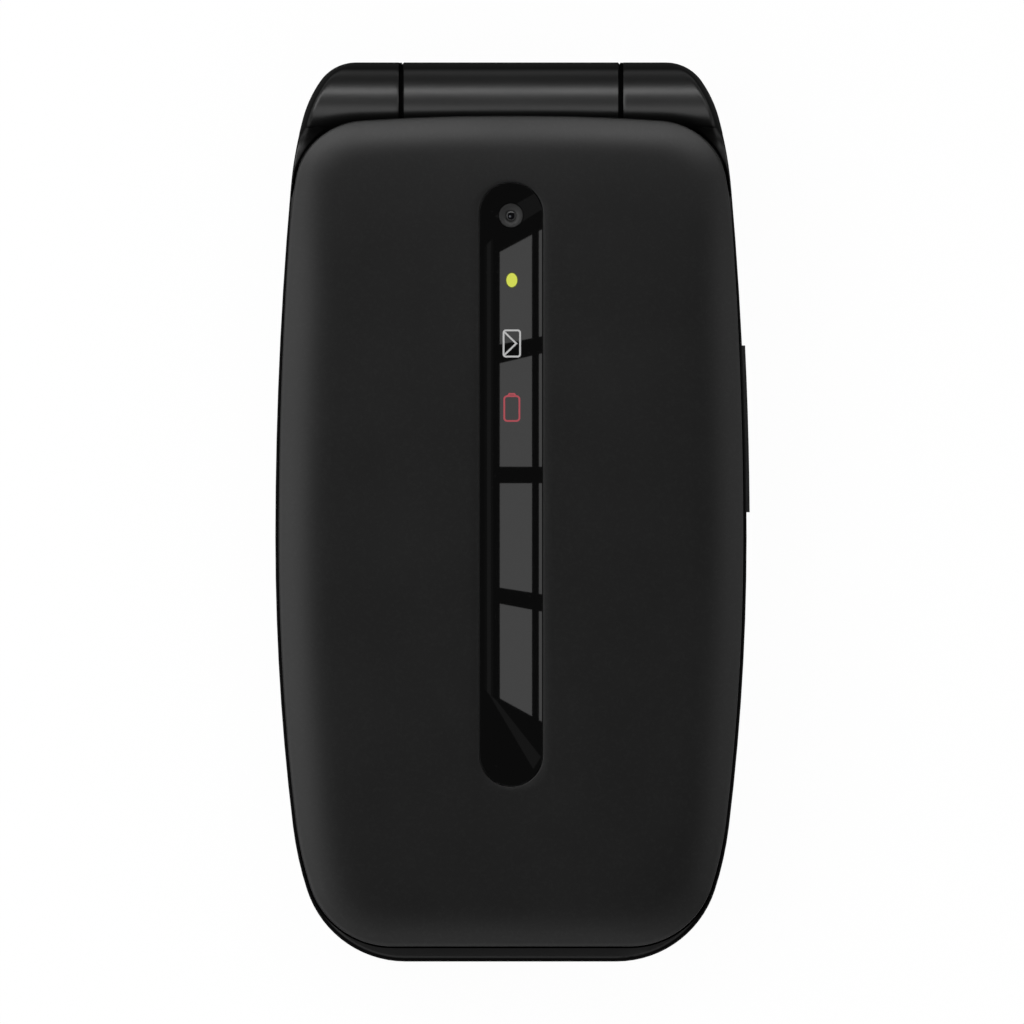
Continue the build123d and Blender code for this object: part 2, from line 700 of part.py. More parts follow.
def vibration_motor():
    """Small motor with an eccentric weight on its shaft."""
    lying = Rot(-90, 0, 0)
    can = Pos(motor_x, motor_y, motor_height) * lying * Cylinder(motor_radius, motor_length)
    shaft_length = motor_weight_length + 1.5 * motor_shaft_air
    shaft = Cylinder(motor_shaft_radius, shaft_length, align=(Align.CENTER,) * 2 + (Align.MIN,))
    weight_plan = Circle(motor_weight_radius) - Pos(0, -motor_weight_radius) * Rectangle(
        2 * motor_weight_radius, 2 * motor_weight_radius - motor_weight_cut)
    weight = Pos(0, 0, motor_shaft_air) * extrude(weight_plan, motor_weight_length)
    end = Pos(motor_x, motor_y + motor_length / 2, motor_height) * lying
    return can + end * (shaft + weight)


def microphone():
    """Round capsule on the board under its hole in the deck."""
    return post(microphone_radius, microphone_x, microphone_y, board_top + seat_gap,
                board_top + seat_gap + microphone_height)


def usb_socket():
    """Data and charging socket: oval metal shell with its contact tongue."""
    start_y = tail_y + usb_length + wall / 4
    shell = tailward(usb_plan(-tongue_gap / 2), 0, usb_height_middle, start_y, usb_length)
    shell -= tailward(usb_plan(-usb_sheet), 0, usb_height_middle, start_y - usb_sheet, usb_length)
    width, height, length = usb_tongue
    return shell + block((width, length, height), 0, start_y - length / 2,
                         usb_height_middle - height / 2)


def headset_jack():
    """Round headset socket with a blind bore from the tail face."""
    body = tailward(Circle(jack_body), jack_x, jack_height, jack_start_y, jack_length)
    bore_start = jack_start_y - (jack_length - jack_bore_depth)
    return body - tailward(Circle(jack_bore), jack_x, jack_height, bore_start, jack_bore_depth)


def case_screws():
    """Four screws that draw the cases together."""
    screws = []
    for x, y, opening in screw_places():
        head_base = opening + screw_head_depth
        screw = post(screw_head, x, y, head_base, head_base + screw_head_depth - seat_gap)
        screw += post(screw_shank - seat_gap, x, y, head_base, deck_under)
        socket = Pos(x, y, head_base) * extrude(RegularPolygon(screw_head / 2, 6), screw_head_depth / 2)
        screws.append(screw - socket)
    return group(screws)


def volume_key():
    """Side rocker that follows the curve of the base, with a retaining flange inside."""
    flange = volume_band(volume_flange_thickness - volume_depth, volume_depth, volume_flange)
    return volume_band(volume_stand, volume_depth, 0) + flange


def volume_switch():
    """Side switch under the board's edge: two buttons that the rocker presses."""
    reach = phone_width / 2 - volume_depth - volume_switch_air
    top = board_height - seat_gap
    x = reach - switch_button[0] - switch_size[0] / 2
    switch = block(switch_size, x, volume_middle_y, top - switch_size[2])
    for side in (1, -1):
        y = volume_middle_y + side * switch_button_pitch / 2
        switch += block(switch_button, x + (switch_size[0] + switch_button[0]) / 2, y,
                        top - (switch_size[2] + switch_button[2]) / 2)
    return switch


def base_flex():
    """Flexible circuit: up from the board and rolled inside the left knuckle."""
    tail_x = -knuckle_x - bush_grip - flex_width / 2
    roll_end = -barrel_end + bush_length - bush_grip
    roll = hinge_tube(flex_roll_radius, flex_roll_radius - flex_thickness,
                      tail_x - flex_width / 2, roll_end)
    opening = Pos(0, 0, hinge_height + flex_roll_radius) * Box(
        phone_width, flex_roll_radius, flex_roll_radius)
    roll -= Pos(0, hinge_y, 0) * opening
    bottom = board_top + seat_lift
    tail = block((flex_width, flex_thickness, hinge_height - flex_roll_radius - bottom + flex_thickness),
                 tail_x, hinge_y, bottom)
    return roll + tail


# ---- Keys -------------------------------------------------------------------------------------
def digit_keys():
    """(name, x, y) of the twelve number keys, bottom row first."""
    return [(name, (column - 1) * key_pitch_x, bottom_row_y + row * key_pitch_y)
            for row, names in enumerate(digit_names) for column, name in enumerate(names)]


def side_keys():
    """(name, x, y, height) of the four keys beside the compass ring."""
    return [("key_left_soft", -side_key_x, soft_key_y, soft_key_height),
            ("key_right_soft", side_key_x, soft_key_y, soft_key_height),
            ("key_call", -side_key_x, call_key_y, call_key_height),
            ("key_end", side_key_x, call_key_y, call_key_height)]


def key_plan(width, height, grow):
    """Plan of a rectangular key, grown by a margin."""
    return RectangleRounded(width + 2 * grow, height + 2 * grow, key_corner + grow)


def key_windows():
    """Every opening in the deck that a key rises through."""
    digits = [Pos(x, y) * key_plan(key_width, key_height, key_window_gap)
              for _, x, y in digit_keys()]
    sides = [Pos(x, y) * key_plan(side_key_width, height, key_window_gap)
             for _, x, y, height in side_keys()]
    return digits + sides + [Pos(0, nav_y) * Circle(nav_radius + key_window_gap)]


def key(x, y, width, height):
    """One key: soft-edged cap, retaining flange and the stem that meets its dome."""
    place = Pos(x, y, key_flange_under)
    cap = place * extrude(key_plan(width, height, 0), key_top - key_flange_under)
    cap = fillet(loop_at(cap, key_top), key_edge)
    flange = place * extrude(key_plan(width, height, key_flange), key_flange_thickness)
    return cap + flange + post(key_stem, x, y, key_foot, key_flange_under)


def key_5_nub(y):
    """Raised dot that a finger finds on the middle key."""
    return post(nub_radius, 0, y, key_top - nub_height, key_top + nub_height)


def ok_key():
    """Round key inside the compass ring."""
    cap = post(ok_radius, 0, nav_y, key_foot, key_top)
    cap = fillet(loop_at(cap, key_top), key_edge)
    return cap + post(ok_radius + ok_flange, 0, nav_y, key_foot, key_foot + nav_pad_thickness)


def nav_pad():
    """Rocking plate under the compass ring."""
    pad = post(nav_radius, 0, nav_y, nav_pad_under, nav_pad_under + nav_pad_thickness)
    return pad - post(ok_radius + ok_flange + saddle_gap, 0, nav_y, 0, lid_inner)


def nav_ring():
    """Compass ring with a soft crown and a retaining flange."""
    top = deck_top + nav_stand
    ring = post(nav_radius, 0, nav_y, nav_ring_under, top)
    ring = fillet(loop_at(ring, top), key_edge)
    ring += post(nav_radius + nav_flange, 0, nav_y, nav_ring_under,
                 nav_ring_under + key_flange_thickness / 2)
    ring -= post(nav_inner_radius, 0, nav_y, 0, lid_inner)
    return ring


# ---- Hinge --------------------------------------------------------------------------------------
def shaft_key(start, end, grow):
    """The shaft's two-flat section between two X places, grown by a gap."""
    rod = hinge_rod(shaft_radius + grow, start, end)
    return rod & (Pos((start + end) / 2, hinge_y, hinge_height) * Box(
        end - start, 2 * (shaft_flat + grow), 4 * shaft_radius))


can_start = barrel_end - can_length
cam_end = barrel_end - can_wall - cam_gap
cam_start = cam_end - cam_thickness
follower_end = cam_start - cam_gap
follower_start = follower_end - cam_thickness
spring_start = can_start + can_wall + cam_gap
bore_radius = can_radius - can_wall


def hinge_can():
    """Sleeve that turns with the lid and holds the friction parts."""
    can = hinge_tube(can_radius, bore_radius, can_start, barrel_end)
    floor = hinge_tube(bore_radius + can_wall / 2, spindle_radius + running_gap,
                       can_start, can_start + can_wall)
    mouth = hinge_tube(bore_radius + can_wall / 2, shaft_radius + running_gap,
                       barrel_end - can_wall, barrel_end)
    return can + floor + mouth


def hinge_shaft():
    """Shaft fixed in the right knuckle: flats, cam disc, spindle and riveted end."""
    shaft = shaft_key(barrel_end - can_wall - cam_gap, knuckle_x + shaft_grip, 0)
    shaft += hinge_rod(bore_radius - running_gap, cam_start, cam_end)
    shaft += hinge_rod(spindle_radius, can_start - cam_gap, cam_start)
    return shaft + hinge_rod(2 * spindle_radius, can_start - cam_gap - can_wall,
                             can_start - cam_gap)


def hinge_follower():
    """Sliding cam that the spring presses on the shaft's disc."""
    return hinge_tube(bore_radius - running_gap, spindle_radius + running_gap,
                      follower_start, follower_end)


def hinge_spring():
    """Stack of dished spring washers, joined rim to rim."""
    start, end = spring_start, follower_start - cam_gap
    inner, outer = spindle_radius + 3 * running_gap, bore_radius - 3 * running_gap
    pitch = (end - start) / (2 * spring_turns)
    near = [(inner if step % 2 else outer - spring_rim, start + step * pitch)
            for step in range(2 * spring_turns + 1)]
    far = [(radius + spring_rim, place) for radius, place in reversed(near)]
    profile = make_face(Polyline(*near, *far, close=True))
    spun = revolve(Plane.XZ * profile, Axis.Z)
    return Pos(0, hinge_y, hinge_height) * Rot(0, 90, 0) * spun


def hinge_bush():
    """Hollow bush that carries the lid in the left knuckle and lets the circuit through."""
    start = -knuckle_x - bush_grip
    return hinge_tube(bush_radius, bush_radius - bush_wall, start, start + bush_length)


def hinge_barrel():
    """Middle knuckle of the lid with the neck that is screwed into the lid."""
    barrel = hinge_rod(barrel_radius, -barrel_end, barrel_end)
    ends = [edge for edge in barrel.edges() if edge.geom_type == GeomType.CIRCLE]
    barrel = chamfer(ends, saddle_gap)
    middle_y = (hinge_y + neck_front_y) / 2
    barrel += block((neck_width, hinge_y - neck_front_y, neck_thickness), 0, middle_y, neck_under)
    bush_end = -knuckle_x - bush_grip + bush_length
    barrel -= hinge_rod(can_radius + seat_gap, can_start, barrel_end)
    barrel -= hinge_rod(bush_radius + seat_gap, -barrel_end, can_start)
    slot_x = (bush_end + can_start) / 2
    slot = (flex_width + 2 * saddle_gap, hinge_y - neck_front_y, 4 * flex_thickness)
    barrel -= block(slot, slot_x, middle_y, flex_height - 2 * flex_thickness)
    for x, y in both_sides(lid_screw_places[2:]):
        barrel -= post(screw_shank, x, y, 0, neck_top)
    return barrel


# ---- Lid half --------------------------------------------------------------------------------------
def neck_room():
    """Space in the lid's walls that the barrel's neck passes through."""
    front_y = neck_front_y - saddle_gap
    size = (neck_width + 2 * saddle_gap, hinge_y - front_y, neck_thickness + 2 * seat_lift)
    return block(size, 0, (hinge_y + front_y) / 2, neck_under - seat_lift)


def lid_hollow(bottom, top):
    """Inside of the lid between two heights, with a curved wall left beside the hinge."""
    return lid_outline.inset(lid_wall).slab(bottom, top) - hinge_rod(
        saddle_radius + saddle_wall, -phone_width, phone_width)


def window_plan(grow):
    """Plan of the long round-ended window, grown by a margin."""
    slot = SlotOverall(window_length + 2 * grow, window_width + 2 * grow, rotation=90)
    return Pos(0, window_middle_y) * slot


def lid_cover():
    """Outer shell of the lid: softly rolled edges, window seat and screw towers."""
    outer = lid_outline.slab(cover_seam, lid_top)
    top_face = outer.faces().sort_by(Axis.Z)[-1]
    outer = chamfer(top_face.edges(), roll_width, roll_drop, reference=top_face)
    outer = fillet(loop_at(outer, lid_top), roll_inner_radius)
    outer = fillet(loop_at(outer, lid_top - roll_drop), roll_outer_radius)
    cover = outer - lid_hollow(cover_seam, cover_ceiling)
    towers = [post(lid_screw_boss, x, y, frame_top + seat_lift, cover_ceiling)
              for x, y in both_sides(lid_screw_places[:2])]
    cover += towers
    cover -= hinge_rod(saddle_radius, -phone_width, phone_width)
    cover -= neck_room()
    cover -= Pos(0, 0, window_under) * extrude(window_plan(window_gap), lid_top - window_under)
    cover -= Pos(0, 0, cover_ceiling) * extrude(window_plan(-window_ledge), lid_top - cover_ceiling)
    for x, y in both_sides(lid_screw_places[:2]):
        cover -= post(screw_shank, x, y, frame_top, cover_ceiling - lid_wall)
    return cover


def lid_frame():
    """Inner frame of the lid: display seat, earpiece slot, screw holes and hinge edge."""
    frame = lid_outline.slab(lid_inner, cover_seam)
    frame = fillet(loop_at(frame, lid_inner), seam_edge_radius)
    frame -= lid_hollow(frame_top, cover_seam)
    frame -= hinge_rod(saddle_radius, -phone_width, phone_width)
    seat = (glass_size[0] + 2 * glass_gap, glass_size[1] + 2 * glass_gap)
    frame -= rounded_plate(seat, glass_corner + glass_gap, 0, display_y, lid_inner,
                           lid_inner + glass_thickness + glass_gap)
    frame -= rounded_plate(display_opening, display_corner, 0, display_y, lid_inner, frame_top)
    frame -= neck_room()
    slot = Pos(0, earpiece_y) * SlotOverall(earpiece_slot[0], earpiece_slot[1])
    frame -= Pos(0, 0, lid_inner) * extrude(slot, frame_thickness)
    for x, y in both_sides(lid_screw_places):
        frame -= post(screw_shank + tongue_gap, x, y, lid_inner, cover_seam)
        frame -= post(screw_head + tongue_gap, x, y, lid_inner, lid_inner + screw_head_depth / 2)
    for x, y in both_sides(bumper_places):
        frame -= post(bumper_radius + seat_gap, x, y, lid_inner, lid_inner + bumper_root)
    return frame


def outer_window():
    """Long glossy window let into the lid, bored for the camera's ring."""
    plate = Pos(0, 0, window_under) * extrude(window_plan(0), window_thickness)
    return plate - post(camera_ring_radius + window_gap, 0, camera_y, window_under, lid_top)


def camera_ring():
    """Small ring round the camera's eye, flush with the lid."""
    ring = post(camera_ring_radius, 0, camera_y, window_under + seat_gap, lid_top)
    return ring - post(camera_ring_bore, 0, camera_y, window_under, lid_top)


def camera_module():
    """Camera: square body on the board, round barrel and small domed eye."""
    body_top = lid_board_top + seat_gap + camera_size[2]
    body = block(camera_size, 0, camera_y, lid_board_top + seat_gap)
    barrel_top = window_under - seat_gap
    body += post(camera_barrel_radius, 0, camera_y, body_top, barrel_top)
    return body + post(camera_pupil, 0, camera_y, barrel_top, barrel_top + window_thickness / 2)


def indicator_lamps():
    """Three lamps on the lid's board."""
    return group([block(lamp_size, 0, y, lid_board_top + seat_gap) for y in lamp_places])


def light_guide():
    """Clear bar under the window with one light post above each lamp."""
    top = window_under - seat_gap
    length = max(lamp_places) - min(lamp_places) + 2 * guide_overrun
    middle = (max(lamp_places) + min(lamp_places)) / 2
    guide = rounded_plate((guide_width, length), guide_width / 3, 0, middle,
                          top - guide_thickness, top)
    lamp_top = lid_board_top + seat_gap + lamp_size[2]
    for y in lamp_places:
        guide += post(guide_post, 0, y, lamp_top + seat_gap, top - guide_thickness)
    return guide


def lid_board():
    """Circuit board in the lid, bored for the towers."""
    board = lid_outline.inset(lid_board_margin).slab(lid_board_under, lid_board_top)
    board -= block((phone_width, phone_length, lid_top), 0, lid_board_head_y + phone_length / 2)
    for x, y in both_sides(lid_screw_places[:2]):
        board -= post(lid_screw_boss + saddle_gap, x, y, 0, lid_top)
    return board


def display_panel():
    """Display module over the opening in the frame."""
    return rounded_plate(display_size, display_corner, 0, display_y, frame_top + seat_lift,
                         frame_top + seat_lift + display_thickness)


def display_window():
    """Clear front of the display, set flush in the lid's inner face."""
    return rounded_plate(glass_size, glass_corner, 0, display_y, lid_inner + seat_gap,
                         lid_inner + seat_gap + glass_thickness)


def earpiece():
    """Receiver capsule over its slot."""
    return rounded_plate(earpiece_size, earpiece_corner, 0, earpiece_y, frame_top + seat_lift,
                         lid_board_under - earpiece_board_air)


def earpiece_mesh():
    """Woven dust screen in the earpiece slot."""
    plan = Pos(0, earpiece_y) * SlotOverall(earpiece_slot[0] - 2 * seat_gap,
                                            earpiece_slot[1] - 2 * seat_gap)
    return Pos(0, 0, lid_inner + frame_thickness / 2) * extrude(plan, mesh_thickness)


def lid_magnet():
    """Magnet that tells the base that the lid is shut."""
    return block(magnet_size, magnet_x, magnet_y, frame_top + seat_lift)


def lid_screws():
    """Six screws driven from the lid's inner face."""
    screws = []
    head_top = lid_inner + screw_head_depth / 2 - seat_gap
    tip = cover_ceiling - lid_wall - lid_screw_air
    for x, y in both_sides(lid_screw_places):
        screw = post(screw_head, x, y, lid_inner + seat_gap, head_top)
        screw += post(screw_shank - seat_gap, x, y, head_top, tip)
        socket = Pos(x, y, lid_inner) * extrude(RegularPolygon(screw_head / 2, 6), screw_head_depth / 4)
        screws.append(screw - socket)
    return group(screws)


def lid_bumpers():
    """Four rubber feet that meet the deck when the lid shuts."""
    bottom = deck_top + bumper_air
    top = lid_inner + bumper_root - seat_gap
    return group([post(bumper_radius, x, y, bottom, top) for x, y in both_sides(bumper_places)])


def lid_flex():
    """Flexible circuit from the barrel's bore to the lid's board."""
    bush_end = -knuckle_x - bush_grip + bush_length
    x = (bush_end + can_start) / 2
    end_y = lid_board_head_y - flex_width / 2
    start_y = hinge_y - bush_radius / 2
    return block((flex_width, start_y - end_y, flex_thickness), x, (start_y + end_y) / 2, flex_height)


# ---- Nodes ----------------------------------------------------------------------------------------
def all_nodes():
    """Every node by name."""
    nodes = {maker.__name__: maker() for maker in (
        rear_case, front_case, battery_cover, battery, battery_contacts, card_sockets, main_board,
        dome_sheet, shield_cans, loudspeaker, antenna, vibration_motor, microphone, usb_socket,
        headset_jack, case_screws, volume_key, volume_switch, base_flex, nav_pad, nav_ring,
        hinge_shaft, hinge_can, hinge_follower, hinge_spring, hinge_bush, hinge_barrel,
        lid_cover, lid_frame, outer_window, camera_ring, camera_module, indicator_lamps,
        light_guide, lid_board, display_panel, display_window, earpiece, earpiece_mesh,
        lid_magnet, lid_screws, lid_bumpers, lid_flex)}
    nodes["key_ok"] = ok_key()
    for name, x, y in digit_keys():
        nodes[name] = key(x, y, key_width, key_height)
    nodes["key_5"] += key_5_nub(bottom_row_y + 2 * key_pitch_y)
    for name, x, y, height in side_keys():
        nodes[name] = key(x, y, side_key_width, height)
    return nodes


os.makedirs("parts", exist_ok=True)
for node_name, solid in all_nodes().items():
    export_step(solid, f"parts/{node_name}.step")
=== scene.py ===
"""Dresses the clamshell phone: soft-touch lid, gloss window, barrel hinge, keypad half, studio."""

import logging
import math
from dataclasses import dataclass, field
from enum import Enum
from typing import Any, Iterable, Mapping, Sequence

import bmesh
import bpy
import numpy as np
from mathutils import Matrix, Vector


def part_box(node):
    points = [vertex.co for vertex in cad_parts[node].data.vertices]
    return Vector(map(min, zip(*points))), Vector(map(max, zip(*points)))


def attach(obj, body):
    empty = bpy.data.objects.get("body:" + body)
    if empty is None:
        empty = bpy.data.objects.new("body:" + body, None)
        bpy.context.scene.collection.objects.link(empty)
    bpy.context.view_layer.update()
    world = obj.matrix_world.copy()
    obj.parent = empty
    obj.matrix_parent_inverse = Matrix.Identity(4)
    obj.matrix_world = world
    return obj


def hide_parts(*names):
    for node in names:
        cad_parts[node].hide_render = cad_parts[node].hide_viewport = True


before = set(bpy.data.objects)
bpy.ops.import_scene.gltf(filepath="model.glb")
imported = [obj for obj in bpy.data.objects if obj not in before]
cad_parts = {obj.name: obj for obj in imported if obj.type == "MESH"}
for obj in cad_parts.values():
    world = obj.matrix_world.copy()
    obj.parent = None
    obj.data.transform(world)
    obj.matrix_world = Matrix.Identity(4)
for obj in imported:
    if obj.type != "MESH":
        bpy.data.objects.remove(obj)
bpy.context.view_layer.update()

log = logging.getLogger("phone")

Piece = bpy.types.Object
Socket = bpy.types.NodeSocket
Material = bpy.types.Material
Colour = tuple[float, float, float]
Point = tuple[float, float]

MM = 0.001
WELD = 1e-7  # metres within which points count as one
CREASE = 32.0  # degrees of turn over which an edge stays sharp
NEEDLE = 1e-4  # least radius of a turned piece, in millimetres
COARSE, FINE, FINEST = 0.36, 0.2, 0.1  # point spacing along an outline, in millimetres
WIDEST = -3.0  # where along the phone both halves are widest, in millimetres
TINY = 1e-3  # least length that something is divided by, in millimetres
MIX_FACTOR, MIX_A, MIX_B, MIX_RESULT = 0, 6, 7, 2  # a Mix node's colour sockets


def grey(level: float) -> Colour:
    """A neutral linear colour."""
    return (level, level, level)


def shade(tone: Colour, share: float) -> Colour:
    """A colour made darker or lighter by a share of itself."""
    return tuple(min(1.0, channel * share) for channel in tone)


def eased(share: np.ndarray) -> np.ndarray:
    """A share from 0 to 1 that starts and stops softly."""
    return share * share * (3 - 2 * share)


# ---- Shader wires --------------------------------------------------------------------------------
class Wire:
    """A number on a wire between nodes, whose arithmetic adds Math nodes."""

    def __init__(self, nodes: "Nodes", socket: Socket) -> None:
        """Keeps the socket and the node tree that it belongs to."""
        self.nodes = nodes
        self.socket = socket

    def _math(self, operation: str, *terms: "Wire | float") -> "Wire":
        """The result of one Math node, with its terms in the node's order."""
        node = self.nodes.add("ShaderNodeMath", {"operation": operation}, dict(enumerate(terms)))
        return Wire(self.nodes, node.outputs[0])

    def __add__(self, other: "Wire | float") -> "Wire":
        """Sum."""
        return self._math("ADD", self, other)

    __radd__ = __add__

    def __sub__(self, other: "Wire | float") -> "Wire":
        """Difference."""
        return self._math("SUBTRACT", self, other)

    def __rsub__(self, other: float) -> "Wire":
        """A number less this wire."""
        return self._math("SUBTRACT", other, self)

    def __mul__(self, other: "Wire | float") -> "Wire":
        """Product."""
        return self._math("MULTIPLY", self, other)

    __rmul__ = __mul__

    def __gt__(self, other: "Wire | float") -> "Wire":
        """Mask of 1 where this wire is the greater."""
        return self._math("GREATER_THAN", self, other)

    def __lt__(self, other: "Wire | float") -> "Wire":
        """Mask of 1 where this wire is the smaller."""
        return self._math("LESS_THAN", self, other)

    def repeat(self, period: float) -> "Wire":
        """The wire folded into a triangle wave from 0 to half the period and back."""
        return self._math("PINGPONG", self, period / 2)


class Nodes:
    """A node tree of a material or of the world."""

    def __init__(self, owner: Material | bpy.types.World) -> None:
        """Empties the tree.

        Args:
            owner: The material or world that it belongs to.
        """
        owner.use_nodes = True
        self.tree = owner.node_tree
        self.tree.nodes.clear()

    def add(self, kind: str, settings: Mapping[str, Any] | None = None,
            inputs: Mapping[Any, Any] | None = None) -> bpy.types.Node:
        """Adds a node of any type.

        Args:
            kind: The node's Blender type.
            settings: Properties, set first; "stops" fills a colour ramp.
            inputs: Values, wires or sockets by input name or number.

        Returns:
            The new node.
        """
        node = self.tree.nodes.new(kind)
        for name, value in (settings or {}).items():
            if name == "stops":
                ramp = node.color_ramp
                while len(ramp.elements) < len(value):
                    ramp.elements.new(1.0)
                for element, (position, colour) in zip(ramp.elements, value):
                    element.position, element.color = position, (*colour, 1.0)
            else:
                setattr(node, name, value)
        for key, value in (inputs or {}).items():
            self.feed(node, key, value)
        return node

    def feed(self, node: bpy.types.Node, key: Any, value: Any) -> None:
        """Fills one input of a node.

        Args:
            node: The node.
            key: The input's name or number.
            value: A number, a colour, a wire or a socket.
        """
        if isinstance(value, Wire):
            value = value.socket
        if isinstance(value, Socket):
            self.tree.links.new(value, node.inputs[key])
        elif isinstance(value, tuple) and len(value) == 3 and node.inputs[key].type == "RGBA":
            node.inputs[key].default_value = (*value, 1.0)
        else:
            node.inputs[key].default_value = value

    def mix(self, factor: Any, first: Socket, second: Socket) -> Socket:
        """The first shader where the factor is 0 and the second where it is 1."""
        mixed = self.add("ShaderNodeMixShader", inputs={0: factor, 1: first, 2: second})
        return mixed.outputs[0]


class Shader(Nodes):
    """One material's nodes, ending in a Principled shader. Sizes in millimetres."""

    def __init__(self, name: str) -> None:
        """Makes the material with its surface shader, output and coordinates.

        Args:
            name: The material's name.
        """
        self.material = bpy.data.materials.new(name)
        super().__init__(self.material)
        self.surface = self.add("ShaderNodeBsdfPrincipled")
        self.output = self.add("ShaderNodeOutputMaterial",
                               inputs={"Surface": self.surface.outputs[0]})
        self.place = self.add("ShaderNodeTexCoord").outputs["Object"]

    def stretched(self, scale: Sequence[float]) -> Socket:
        """Object coordinates scaled by a Mapping node."""
        return self.add("ShaderNodeMapping", inputs={
            "Vector": self.place, "Scale": tuple(scale)}).outputs[0]

    def noise(self, size: float, detail: float = 2.0, where: Socket | None = None) -> Wire:
        """Smooth noise.

        Args:
            size: Feature size.
            detail: Octaves.
            where: Coordinates, the object's own if left out.

        Returns:
            Values around one half.
        """
        node = self.add("ShaderNodeTexNoise", inputs={
            "Vector": where or self.place, "Scale": 1 / (size * MM), "Detail": detail})
        return Wire(self, node.outputs[0])

    def cells(self, size: float) -> Wire:
        """Voronoi distance, from 0 at each cell's middle."""
        inputs = {"Vector": self.place, "Scale": 1 / (size * MM)}
        return Wire(self, self.add("ShaderNodeTexVoronoi", inputs=inputs).outputs["Distance"])

    def axis(self, index: int) -> Wire:
        """One object coordinate."""
        split = self.add("ShaderNodeSeparateXYZ", inputs={0: self.place})
        return Wire(self, split.outputs[index]) * (1 / MM)

    def facing(self) -> Wire:
        """0 where the surface is seen straight on, rising to 1 edge on."""
        weight = self.add("ShaderNodeLayerWeight", inputs={"Blend": 0.5})
        return Wire(self, weight.outputs["Facing"])

    def ramp(self, value: Wire, start: float, stop: float, top: float) -> Wire:
        """A smooth rise from 0 to a top value.

        Args:
            value: What is followed.
            start: Its value where the rise starts.
            stop: Its value where the rise ends.
            top: The highest result.

        Returns:
            The ramp's result.
        """
        node = self.add("ShaderNodeMapRange", {"interpolation_type": "SMOOTHSTEP"}, {
            "Value": value, "From Min": start, "From Max": stop, "To Max": top})
        return Wire(self, node.outputs[0])

    def blend(self, mask: Wire, low: Any, high: Any) -> Socket:
        """A colour between two, by a mask from 0 to 1."""
        inputs = {MIX_FACTOR: mask, MIX_A: low, MIX_B: high}
        return self.add("ShaderNodeMix", {"data_type": "RGBA"}, inputs).outputs[MIX_RESULT]

    def relief(self, height: Wire, depth: float) -> Socket:
        """Bump from a height wire and a depth."""
        return self.add("ShaderNodeBump", inputs={
            "Strength": 1.0, "Distance": depth * MM, "Height": height}).outputs[0]

    def show(self, surface: Socket) -> None:
        """Puts another shader in the Principled one's place."""
        self.feed(self.output, "Surface", surface)

    def finish(self, **sockets: Any) -> Material:
        """Feeds the Principled shader.

        Args:
            sockets: Values by socket name, in lower case with underscores.

        Returns:
            The finished material.
        """
        for name, value in sockets.items():
            self.feed(self.surface, name.replace("_", " ").title().replace("Ior", "IOR"), value)
        return self.material


# ---- Finishes ------------------------------------------------------------------------------------
@dataclass(frozen=True)
class Moulding:
    """Moulded or coated plastic and rubber, with its tool's grain. Millimetres.

    The surface turns dull where it is seen edge on, and on a matte corner: tailward of the first
    number of matte_corner and above the second.
    """

    tone: Colour
    roughness: float
    grain: float = 0.12
    depth: float = 0.004
    mottle: float = 0.12
    speckle: float = 0.0
    coat: float = 0.0
    specular: float = 0.5
    dulling: float = 0.0
    dull_from: float = 0.16
    dull_width: float = 0.28
    matte_corner: Point | None = None
    matte_run: float = 10.0
    cloud: float = 14.0
    speck: float = 0.42
    speck_limit: float = 0.56
    speck_group: float = 0.9
    gloss_low: float = 0.9
    gloss_span: float = 0.2
    grain_gloss: float = 0.05
    coat_roughness: float = 0.08

    def dull(self, shader: Shader, colour: Socket, grain: Socket) -> None:
        """Mixes in the dull surface.

        Args:
            shader: The material's nodes.
            colour: Its tone.
            grain: Its relief.
        """
        matte = shader.add("ShaderNodeBsdfDiffuse", inputs={
            "Color": colour, "Roughness": 1.0, "Normal": grain})
        tilt = shader.facing()
        if self.matte_corner:
            before, above = self.matte_corner
            along = shader.ramp(shader.axis(1), before, before - self.matte_run, self.dull_width)
            tilt = tilt + along * (shader.axis(2) > above)
        share = shader.ramp(tilt, self.dull_from, self.dull_from + self.dull_width, self.dulling)
        shader.show(shader.mix(share, shader.surface.outputs[0], matte.outputs[0]))

    def material(self, name: str) -> Material:
        """Fine grain in relief, clouded and speckled tone, uneven gloss.

        Args:
            name: The material's name.

        Returns:
            The material.
        """
        shader = Shader(name)
        fine, cloud = shader.noise(self.grain, 3.0), shader.noise(self.cloud, 3.0)
        colour = shader.blend(cloud, shade(self.tone, 1 - self.mottle),
                              shade(self.tone, 1 + self.mottle))
        if self.speckle:
            specks = shader.noise(self.speck, 3.0) > self.speck_limit
            colour = shader.blend(specks * shader.noise(self.speck_group), colour,
                                  shade(self.tone, 1 + self.speckle))
        gloss = self.roughness * (self.gloss_low + self.gloss_span * cloud)
        grain = shader.relief(fine, self.depth)
        if self.dulling:
            self.dull(shader, colour, grain)
        return shader.finish(
            base_color=colour, roughness=gloss + self.grain_gloss * (fine - 0.5),
            coat_weight=self.coat, coat_roughness=self.coat_roughness,
            specular_ior_level=self.specular, normal=grain)


